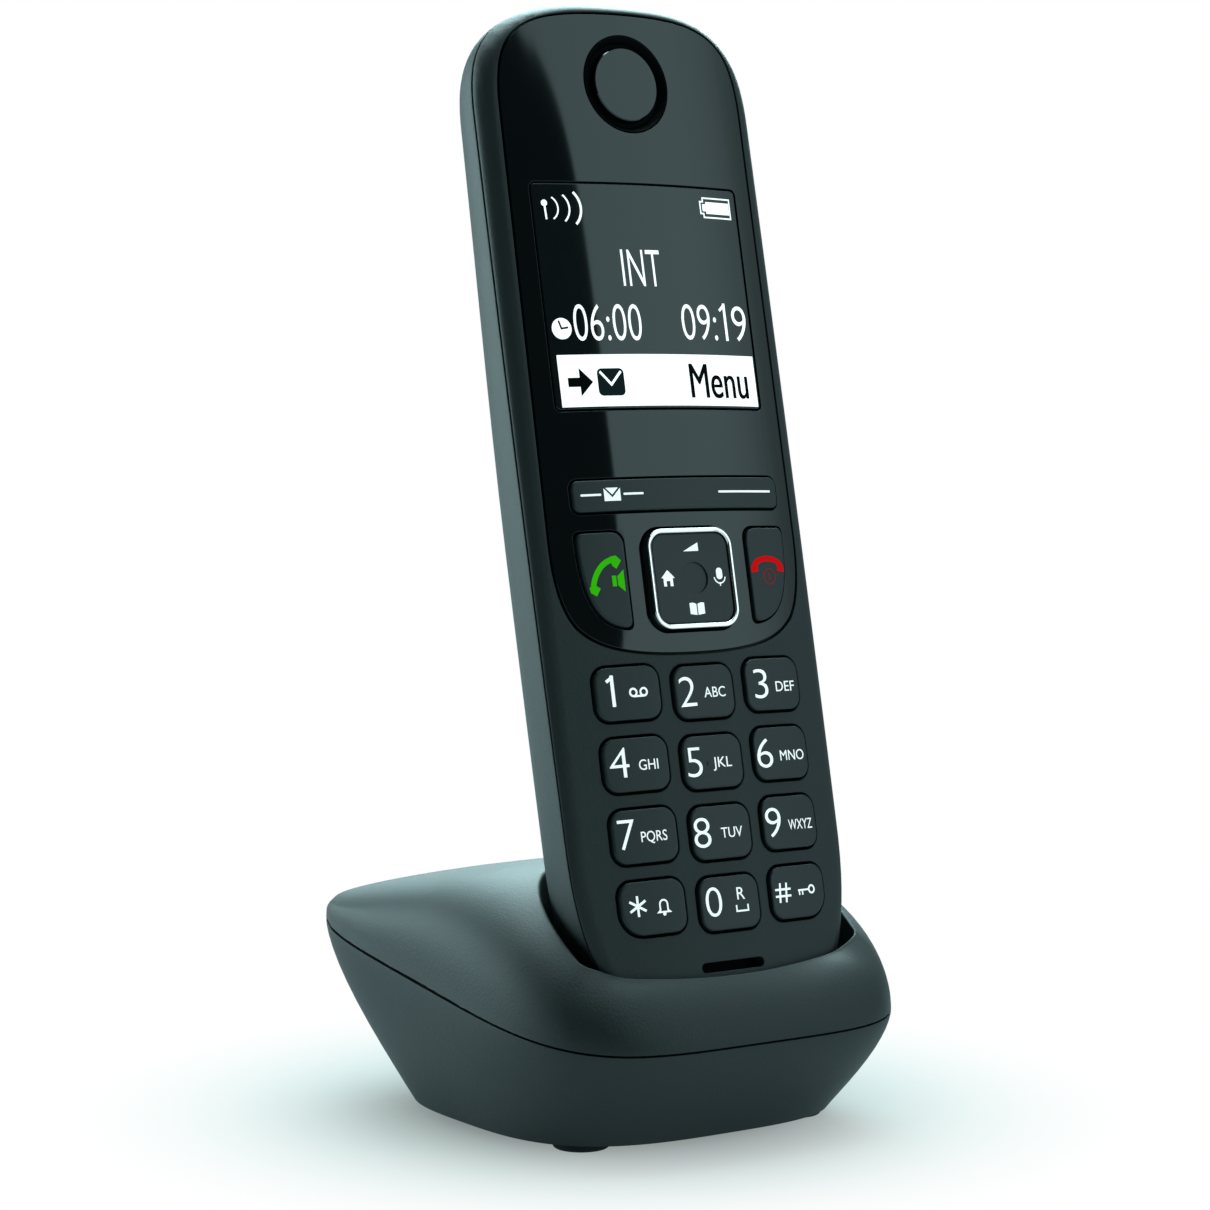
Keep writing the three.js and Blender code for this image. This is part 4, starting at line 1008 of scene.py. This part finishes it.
def screen_marks():
    """What the lit display shows: signal, battery, two times and the two soft key signs."""
    top, ink = 0.0, -PRINT_LIFT
    # signal: an aerial and three growing waves
    ax, av = -15.85, 132.95
    white = [disc(ax, av + 0.75, 0.47, top)]
    white.append(stroke([(ax + 0.02, av + 0.6), (ax + 0.12, av - 1.6)], 0.28, top))
    waves = ((0.25, 1.83, 58, 0.22), (1.4, 2.47, 50, 0.26), (2.55, 3.15, 47, 0.36))
    for middle, radius, reach, width in waves:
        white.append(stroke(arc(ax + middle, av, radius, -reach, reach, 14), width, top))
    # battery: its outline with the nib on the left, and the charge inside
    white.append(stroke([(10.7, 132.85), (11.25, 132.85), (11.25, 132.3), (16.4, 132.3), (16.4, 135.15),
                         (11.25, 135.15), (11.25, 134.6), (10.7, 134.6)], 0.22, top, closed=True))
    charge = [(11.1, 133.2), (11.75, 133.2), (11.75, 132.85), (16.2, 132.85), (16.2, 134.6), (11.75, 134.6),
              (11.75, 134.25), (11.1, 134.25)]
    white.append(sheet_of("charge", charge, top))
    # idle word and the two times; the clock's face, and the bar of the soft keys
    for text, x, v, height, width, thin in (("INT", -4.6, 121.75, 5.75, 6.6, -0.008),
                                            ("06:00", -13.45, 113.95, 5.6, 11.0, -0.01),
                                            ("09:", 4.65, 114.15, 5.55, 6.4, -0.01),
                                            ("9", 14.1, 114.15, 5.55, 2.75, -0.01)):
        white.append(lettering(text, x, v, height, width, top, thin))
    white += one(12.8, 114.15, 5.5, top, 0.17, 0.085)
    white += [disc(-15.4, 115.75, 1.52, top, 40), bar(-16.7, 17.3, 104.6, 112.0, top)]
    printed("display_marks_white", white, "handset", screen_white)
    # clock hands, arrow and word in black; a letter in grey with its flap drawn in white
    black = [stroke([(-15.8, 116.9), (-15.45, 115.75), (-14.4, 115.9)], 0.27, ink)]
    black.append(sheet_of("arrow", [(-15.4, 107.45), (-13.55, 107.45), (-13.55, 106.1), (-11.5, 108.1),
                                    (-13.55, 110.1), (-13.55, 108.75), (-15.4, 108.75)], ink))
    black += [lettering("Menu", x, 105.75, 5.25, 10.7, ink) for x in (4.85, 4.99)]
    printed("display_marks_dark", black, "handset", screen_black, lift=0.01)
    letter = [bar(-10.75, -6.45, 106.1, 110.0, ink, 0.7)]
    printed("display_marks_letter", letter, "handset", screen_grey, lift=0.01)
    flap = [stroke([(-10.3, 109.55), (-8.6, 107.7), (-6.9, 109.55)], 0.36, ink - 0.01)]
    printed("display_marks_flap", flap, "handset", screen_white, lift=0.01)


# ------------------------------------------------------------------ base
def super_radius(angle, w, l, n):
    """Distance from the middle to a squared oval, in a direction."""
    return (abs(math.cos(angle) / w) ** n + abs(math.sin(angle) / l) ** n) ** (-1 / n)


def seam_z(y):
    """Height of the base's parting line, which rises to the back."""
    return SEAM_FRONT_Z + SEAM_RISE * (y + BASE_L)


def crest_z(y):
    """Height of the roof's middle line, which turns down to the back."""
    back = y + CREST_BACK
    return CREST_Z - CREST_FALL / 2 * (back + math.hypot(back, CREST_SOFT))


def roof_power(angle):
    """Squareness of the roof's section: soft at the front, nearly upright at the sides and back."""
    from_front = abs((angle + math.pi / 2 + math.pi) % (2 * math.pi) - math.pi)
    return ROOF_SOFT + (ROOF_SQUARE - ROOF_SOFT) * smooth((from_front - 0.2) / 1.5)


def roof_z(x, y):
    """Height of the base's roof over a place on its plan."""
    angle = math.atan2(y, x)
    rho = min(math.hypot(x, y) / super_radius(angle, BASE_W, BASE_L, BASE_N), 1)
    m = roof_power(angle)
    return seam_z(y) + LINE + (crest_z(y) - seam_z(y)) * (1 - rho ** m) ** (1 / m)


def to_handset(x, y, z):
    """Place in the handset's own frame: across, depth and height along the face."""
    dy = y - FACE_Y
    return x, dy * math.cos(LEAN) - z * math.sin(LEAN), dy * math.sin(LEAN) + z * math.cos(LEAN)


def from_handset(x, d, v):
    return x, FACE_Y + d * math.cos(LEAN) + v * math.sin(LEAN), v * math.cos(LEAN) - d * math.sin(LEAN)


def settle_on(test, low, high, steps):
    """Narrows a range, by halving it, down to where a test stops holding."""
    for _ in range(steps):
        middle = (low + high) / 2
        if test(middle):
            low = middle
        else:
            high = middle
    return low, high


def pocket_reach(x, v, margin):
    """How far out a place is towards the pocket's outline: 1 is on it."""
    w = HS_W + margin
    if v >= HS_LOW:
        return abs(x) / w
    deep = HS_LOW + margin - HS_BOTTOM
    s = max(v, SPINE_LOW)

    def beyond(c):
        px, pv = x / max(c, 1e-6), s + (v - s) / max(c, 1e-6)
        inside = pv >= HS_LOW or (abs(px) / w) ** POCKET_N + (abs(HS_LOW - pv) / deep) ** POCKET_N <= 1
        return not (inside and abs(px) <= w)

    return settle_on(beyond, 0.0, 3.0, 26)[1]


def in_pocket(x, d, v, margin):
    """Whether a place lies in the pocket, whose front corners are softly drawn in."""
    c = pocket_reach(x, v, margin)
    if c >= 1:
        return False
    edge = max(c - 0.9, 0) / 0.1
    front = face_depth(x) - margin + 0.35 * edge * edge
    start = seam_depth(v) + 1
    back = start + (back_depth(v) + margin - start) * (1 - c ** HULL_N) ** (1 / HULL_N)
    return front <= d <= back


def pocket_wall(turn, v, margin):
    """Point of the pocket's wall at a height along the handset, in a direction round its middle line."""
    dx, dd = math.cos(turn), math.sin(turn)
    reach, _ = settle_on(lambda r: in_pocket(r * dx, POCKET_D + r * dd, v, margin), 0.0, 45.0, 30)
    return Vector(from_handset(reach * dx, POCKET_D + reach * dd, v))


def rim_height(turn):
    """Height along the handset at which the pocket's wall comes out of the roof."""
    def covered(v):
        p = pocket_wall(turn, v, POCKET_GAP)
        return p.z < roof_z(p.x, p.y)

    low, _ = settle_on(covered, 20.0, 60.0, 24)
    x, d, _ = to_handset(*pocket_wall(turn, low, POCKET_GAP))
    # in front of the handset the rim is cut down to a shallow curve that sweeps up at the corners
    cut = RIM_FRONT + RIM_SAG * (x / 15) ** 2 + RIM_CORNER * (max(abs(x) - 18, 0) / 5) ** 2
    return min(low, cut + RIM_SIDE * max(d - 1.5, 0))


def plan_point(rim):
    """Point of the base's plan straight outside a point of the rim."""
    way = (Vector((rim.x, rim.y)) - POCKET_MIDDLE).normalized()

    def on_plan(r):
        q = POCKET_MIDDLE + way * r
        return math.hypot(q.x, q.y) < super_radius(math.atan2(q.y, q.x), BASE_W, BASE_L, BASE_N)

    return POCKET_MIDDLE + way * settle_on(on_plan, 0.0, 90.0, 40)[0]


def rim_line():
    """Directions round the pocket's middle line, closer at its sides, and the height of the rim in each."""
    turns = []
    for i in range(RIM_STEPS):
        t = 2 * math.pi * i / RIM_STEPS
        turns.append(t - 0.2 * math.sin(2 * t) + 0.06 * math.sin(4 * t))
    heights = [rim_height(t) for t in turns]
    for _ in range(2):
        after = heights[1:] + heights[:1]
        heights = [(heights[i - 1] + 2 * heights[i] + after[i]) / 4 for i in range(RIM_STEPS)]
    return turns, heights


def wall_rings(turns, heights, foot, margin, shares):
    """Rings of the pocket's wall from its heights down to its foot, and one half way in to the middle."""
    rings = []
    for share in shares:
        rings.append([pocket_wall(turn, v + (foot - v) * share, margin) for turn, v in zip(turns, heights)])
    middle = Vector(from_handset(0, POCKET_D, foot))
    return rings + [[middle.lerp(p, 0.5) for p in rings[-1]]]


def upper_shell():
    """Roof from the parting line in to the pocket, its rounded lip, its wall and floor, and the underside."""
    turns, heights = rim_line()
    rims = [pocket_wall(t, v, POCKET_GAP) for t, v in zip(turns, heights)]
    outer = [plan_point(rim) for rim in rims]
    # roof, from the parting line inwards; it runs down to the rim where that is cut lower
    drops = [max(roof_z(p.x, p.y) - p.z, 0) for p in rims]
    lips = []
    for q, rim in zip(outer, rims):
        flat = Vector((rim.x, rim.y))
        lips.append(flat + (q - flat) * min(LIP_RADIUS / (q - flat).length, 0.4))
    rings = []
    for k in range(ROOF_STEPS + 1):
        s = 1 - quarter(k, ROOF_STEPS)[1]
        row = [(q.lerp(lip, s if k else 0), drop * s ** 2) for q, lip, drop in zip(outer, lips, drops)]
        rings.append([(p.x, p.y, roof_z(p.x, p.y) - fall) for p, fall in row])
    # lip: a curve from the roof over the rim and down the wall
    below_rim = [v - LIP_RADIUS for v in heights]
    starts = [Vector(point) for point in rings[-1]]
    ends = [pocket_wall(turn, v, POCKET_GAP) for turn, v in zip(turns, below_rim)]
    for k in range(1, LIP_STEPS + 1):
        t = k / LIP_STEPS
        rings.append([a * (1 - t) ** 2 + rim * (2 * t * (1 - t)) + b * t * t
                      for a, rim, b in zip(starts, rims, ends)])
    floor_v = HS_BOTTOM - POCKET_GAP
    rings += wall_rings(turns, below_rim, floor_v, POCKET_GAP, WALL_SHARES)
    inside = loft("pocket_skin", rings, ends=(False, True))
    # underside: the rim of the shell, and the outside of the pocket below the parting line
    under = [[(q.x * wide, q.y * long, seam_z(q.y * long) + LINE + rise) for q in outer]
             for wide, long, rise in ((1, 1, 0), (0.94, 0.95, 0), (0.93, 0.94, 2))]
    under += wall_rings(turns, heights, floor_v - 1, POCKET_GAP + POCKET_WALL, SLEEVE_SHARES)
    shell = join("base_roof_shell", [inside, loft("pocket_sleeve", under, ends=(False, True))])
    pick(shell, "VERT", whole)
    bpy.ops.mesh.remove_doubles(threshold=1e-3)
    bpy.ops.mesh.normals_make_consistent(inside=False)
    done()
    for x in (-PIN_X, PIN_X):
        hole = rod("well", (x, PIN_Y, 12), 1.6, 20, "Z", 32)
        hole.data.transform(Matrix.Translation((0, FACE_Y, 0)) @ Matrix.Rotation(-LEAN, 4, "X"))
        carve(shell, hole)
    finish(shell, "base", shell_matt, ["base_upper_shell"], UPRIGHT, sharp=40)


def tub_rings(inset, floor_z, top, steps, count=144):
    """Rings of the tub from its parting line down to its floor, where it is narrower and further forward."""
    centre = (BOTTOM_FRONT + BOTTOM_BACK) / 2
    half = (BOTTOM_BACK - BOTTOM_FRONT) / 2
    rings = []
    for t in steps:
        f = t ** BELLY
        row = []
        for i in range(count):
            a = 2 * math.pi * i / count
            a += 0.17 * math.sin(4 * a)
            high = super_radius(a, BASE_W - inset, BASE_L - inset, BASE_N)
            low = super_radius(a, BOTTOM_W - inset, half - inset, BOTTOM_N)
            seam = seam_z(high * math.sin(a)) + top
            row.append(((high + (low - high) * f) * math.cos(a),
                        high * math.sin(a) + (low * math.sin(a) + centre - high * math.sin(a)) * f,
                        seam + (floor_z - seam) * t))
        rings.append(row)
    return rings


def lower_shell():
    """Tub with the cable recess, the sockets' seats and ducts, and holes for feet, screws and paging key."""
    outer = tub_rings(0, BOTTOM_Z, -LINE, TUB_STEPS)
    # the underside turns in over a soft edge
    outer.append([(x * 0.97, y * 0.97, BOTTOM_Z - 0.05) for x, y, _ in outer[-1]])
    inner = tub_rings(WALL, BOTTOM_FLOOR, -LINE, [1, 0.8, 0.6, 0.4, 0.2, 0])
    tub = loft("base_tub_shell", outer[::-1] + inner[::-1])
    x, y0, y1, z = RECESS_X, RECESS_FRONT, RECESS_BACK, RECESS_ROOF
    limit = loft("limit", tub_rings(0.8, BOTTOM_Z, -LINE - 0.4, [0, 0.16, 0.36, 0.6, 0.8, 0.93, 1])[::-1])
    rooms = [block("housing", (-x - WALL, x + WALL), (y0 - 11.5, y1 + WALL), (BOTTOM_FLOOR - 1, z + WALL))]
    sockets = (LINE_SOCKET, POWER_SOCKET)
    for sx, _, _ in sockets:
        rooms.append(block("duct", (sx - DUCT_W - WALL, sx + DUCT_W + WALL), (y1 + 1, 36),
                           (BOTTOM_FLOOR - 1, DUCT_TOP + WALL)))
    for room in rooms:
        carve(room, copy_of(limit, "limit_copy"), how="INTERSECT")
        carve(tub, room, how="UNION")
    bpy.data.objects.remove(limit)
    carve(tub, block("recess", (-x, x), (y0, y1), (-1, z)))
    for sx, w, h in sockets:
        carve(tub, block("seat", (sx - w / 2, sx + w / 2), (y0 - 10, y0 + 1), (2.2, 2.2 + h)))
        carve(tub, block("duct", (sx - DUCT_W, sx + DUCT_W), (y1 - 1, 40), (-1, DUCT_TOP)))
    for fx, fy in FEET.values():
        carve(tub, rod("socket", (fx, fy, 0.5), FOOT_R + GAP, 2 * (FOOT_TOP + GAP) - 1, "Z"))
    for sx in (-SCREW_X, SCREW_X):
        for z0, radius, length in ((3, 1.5, 7), (1, 2.8, 3.2)):
            carve(tub, rod("well", (sx, SCREW_Y, z0), radius, length, "Z", 32))
    carve(tub, paging_key_shape("well", GAP, 8))
    finish(tub, "base", shell_matt, ["base_lower_shell"], UPRIGHT, sharp=40)


def paging_key_shape(name, margin, long, edge=0.0):
    """Short round-ended key that stands square to the back wall."""
    outline = rounded(-5 - margin, 5 + margin, -2.2 - margin, 2.2 + margin, 2.1 + margin)
    key = plate(name, outline, -4, long - 4)
    if edge:
        round_edges(key, at_depth(long - 4), edge)
    # place and slope of the back wall; the plate's depth, along +Y, is turned to run along its outward normal
    t = PAGING_DROP
    top, foot = Vector((BASE_L, seam_z(BASE_L))), Vector((BOTTOM_BACK, BOTTOM_Z))
    slope = BELLY * t ** (BELLY - 1) * (foot.x - top.x)
    y, z = top.x + (foot.x - top.x) * t ** BELLY, top.y + (foot.y - top.y) * t
    turn = math.atan2(slope, top.y - foot.y)
    key.data.transform(Matrix.Translation((0, y, z)) @ Matrix.Rotation(turn, 4, "X"))
    return key


def paging_key():
    """Key at the back that makes the handset ring."""
    key = paging_key_shape("paging_key_cap", 0, 4.5, 0.5)
    finish(key, "paging_key", key_satin, ["paging_key"], UPRIGHT, sharp=40)


def feet():
    """Round rubber feet with a soft lower edge, modelled once and copied."""
    foot = rod("foot", (0, 0, FOOT_TOP / 2), FOOT_R, FOOT_TOP, "Z")
    round_edges(foot, lambda e: all(v.co.z < 0.01 for v in e.verts), 0.5)
    for name, (x, y) in FEET.items():
        pad = copy_of(foot, f"foot_pad_{name}", (x, y, 0))
        finish(pad, "base", rubber, [f"base_foot_{name}"], UPRIGHT, sharp=40)
    bpy.data.objects.remove(foot)


def dress(node_name, material):
    """Gives a carried-over piece its finish."""
    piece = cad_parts[node_name]
    for slot in piece.material_slots:
        slot.material = material
    if not piece.material_slots:
        piece.data.materials.append(material)


# ------------------------------------------------------------------ studio
ROOM_LIGHT = 0.035
CARD_EDGE = 26.6  # degrees to the right of the front
CARD_LIGHT = (0.2, 1.6)  # far from its bright spot, and in it
# the near floor's dark tone, blended out by distance from the base, paints shade round the base
FLOOR_PAINTED_SHADE_TONE = (0.19, 0.23, 0.225, 1)  # floor near the base, as it is seen
FLOOR_BOUNCE = (0.4, 0.4, 0.4, 1)  # and for the light that it throws back
FLOOR_GLOW = (0.52, 0.76, 0.8, 1)  # what the white floor throws on the telephone
# painted shadow tint of the white floor, strongest near the base and blended out by distance
FLOOR_PAINTED_SHADOW_TINT = (1.04, 1.17, 1.14, 1)  # tint of the white floor where the shadow lies
FLOOR_WHITE = 0.08  # distance at which the floor has run out into plain white, in metres
COOL = (0.68, 0.97, 1.0)  # tint of the studio's light
WHITE = (1, 1, 1, 1)
LAMP_AIM, LAMP_REACH, LAMP_SIZE = Vector((0, -0.01, 0.08)), 0.9, 0.7


def mixed(tree, factor, first, second):
    """Mix of two shaders."""
    return node(tree, "MixShader", factor, first.outputs[0], second.outputs[0]).outputs[0]


def studio():
    """Dim room, and a large grey card at the front right that the gloss panel shows."""
    world = bpy.data.worlds.new("studio")
    bpy.context.scene.world = world
    world.use_nodes = True
    tree = world.node_tree
    tree.nodes.clear()
    way = node(tree, "TexCoord").outputs["Generated"]
    height = node(tree, "SeparateXYZ", way).outputs["Z"]
    # the card's near edge is upright in the middle and bows out at its top and bottom
    bow = maths(tree, "POWER", maths(tree, "ABSOLUTE", maths(tree, "MULTIPLY_ADD", height, 9.5, -3.43)), 4.0)
    bow = maths(tree, "MINIMUM", maths(tree, "MULTIPLY", bow, 0.115), 0.16)
    side = maths(tree, "ADD", along(tree, way, 90 + CARD_EDGE, 0), bow)
    card = maths(tree, "MULTIPLY", ease(tree, side, 0.0, 0.007),
                 ease(tree, along(tree, way, CARD_EDGE + 7, 22), 0.86, 0.99, *CARD_LIGHT))
    fill = node(tree, "Background", (*COOL, 1), maths(tree, "ADD", card, ROOM_LIGHT))
    path = node(tree, "LightPath").outputs
    clear_view = maths(tree, "MAXIMUM", path["Is Camera Ray"], path["Is Transmission Ray"])
    surface = mixed(tree, clear_view, fill, node(tree, "Background", WHITE, 1.0))
    node(tree, "OutputWorld", surface)


def floor():
    """White table that keeps the shadow near the base, with painted shade and a painted shadow tint that fade
    out with the distance from the base, and runs out into plain white.
    """
    clear()
    bpy.ops.mesh.primitive_plane_add(size=12, location=(0, 0, -0.0001))
    ground = bpy.context.object
    ground.name = "studio_floor"
    material = bpy.data.materials.new("floor_white")
    material.use_nodes = True
    tree = material.node_tree
    tree.nodes.clear()
    seen = node(tree, "LightPath").outputs["Is Camera Ray"]
    where = node(tree, "TexCoord").outputs["Object"]
    reach = node(tree, "VectorMath", where, operation="LENGTH").outputs["Value"]
    # near the base the floor is a dark diffuse tone and the white comes in by distance, not by shadow:
    # painted shade round the base, over the real shadow that the diffuse part keeps
    near = node(tree, "BsdfDiffuse", blend(tree, seen, FLOOR_BOUNCE, FLOOR_PAINTED_SHADE_TONE))
    # painted shadow tint of the white, strongest near the base
    shade = blend(tree, ease(tree, reach, 0.02, FLOOR_WHITE), FLOOR_PAINTED_SHADOW_TINT, WHITE)
    far = node(tree, "Emission", blend(tree, seen, FLOOR_GLOW, shade), 1.0)
    node(tree, "OutputMaterial", mixed(tree, ease(tree, reach, 0.0, FLOOR_WHITE), near, far))
    ground.data.materials.append(material)


def lamp(name, azimuth, elevation, power):
    """Square softbox aimed at the telephone; its azimuth runs from the front to the right, in degrees."""
    data = bpy.data.lights.new(name, "AREA")
    data.shape = "SQUARE"
    data.size = LAMP_SIZE
    data.energy = power
    data.color = COOL
    light = bpy.data.objects.new(name, data)
    bpy.context.collection.objects.link(light)
    way = Vector(heading(azimuth, elevation))
    light.location = LAMP_AIM + way * LAMP_REACH
    light.rotation_euler = (-way).to_track_quat("-Z", "Y").to_euler()


def lights():
    """Four softboxes, beside and behind the telephone."""
    lamp("softbox_low_left", -147, 4, 8.5)
    lamp("softbox_top_back", 180, 65, 8.5)
    lamp("softbox_right", 120, 65, 7)
    lamp("softbox_right_back", 140, 38, 14)


def camera():
    """Long lens to the left of the front, a little above the keypad."""
    data = bpy.data.cameras.new("camera")
    data.lens = 95.62
    data.sensor_width = 36
    data.clip_start = 0.01
    view = bpy.data.objects.new("camera", data)
    bpy.context.collection.objects.link(view)
    view.location = (-0.26326, -0.38625, 0.10507)
    view.rotation_euler = (math.radians(90 - 3.90), 0, math.radians(-34.33))
    bpy.context.scene.camera = view
    bpy.context.scene.view_settings.view_transform = "Standard"


# ------------------------------------------------------------------ the whole telephone
camera()
studio()
floor()
lights()

front_cover()
microphone_slot_shade()
front_panel()
display_window()
earpiece()
rear_cover()
battery_cover()
key_caps()
nav_pieces()
number_legends()
display_key_legend()
call_legends()
nav_legend()
screen_marks()
upper_shell()
lower_shell()
paging_key()
feet()

for names, material in (
        (("line_socket", "power_socket", "display_module", "earpiece_speaker", "ringer", "nav_pivot"),
         black_plastic),
        # the microphone gets the near-black: painted shade deep in its slot
        (("microphone",), shade_black),
        (("keypad_mat",), rubber),
        (("base_screw_left", "base_screw_right", "battery_contact_upper", "battery_contact_lower"), steel),
        (("charge_pin_left", "charge_pin_right", "charge_contact_left", "charge_contact_right"), gold),
        (("base_circuit_board", "handset_circuit_board"), board_green),
        (("battery_left", "battery_right"), sleeve_green)):
    for name in names:
        dress(name, material)
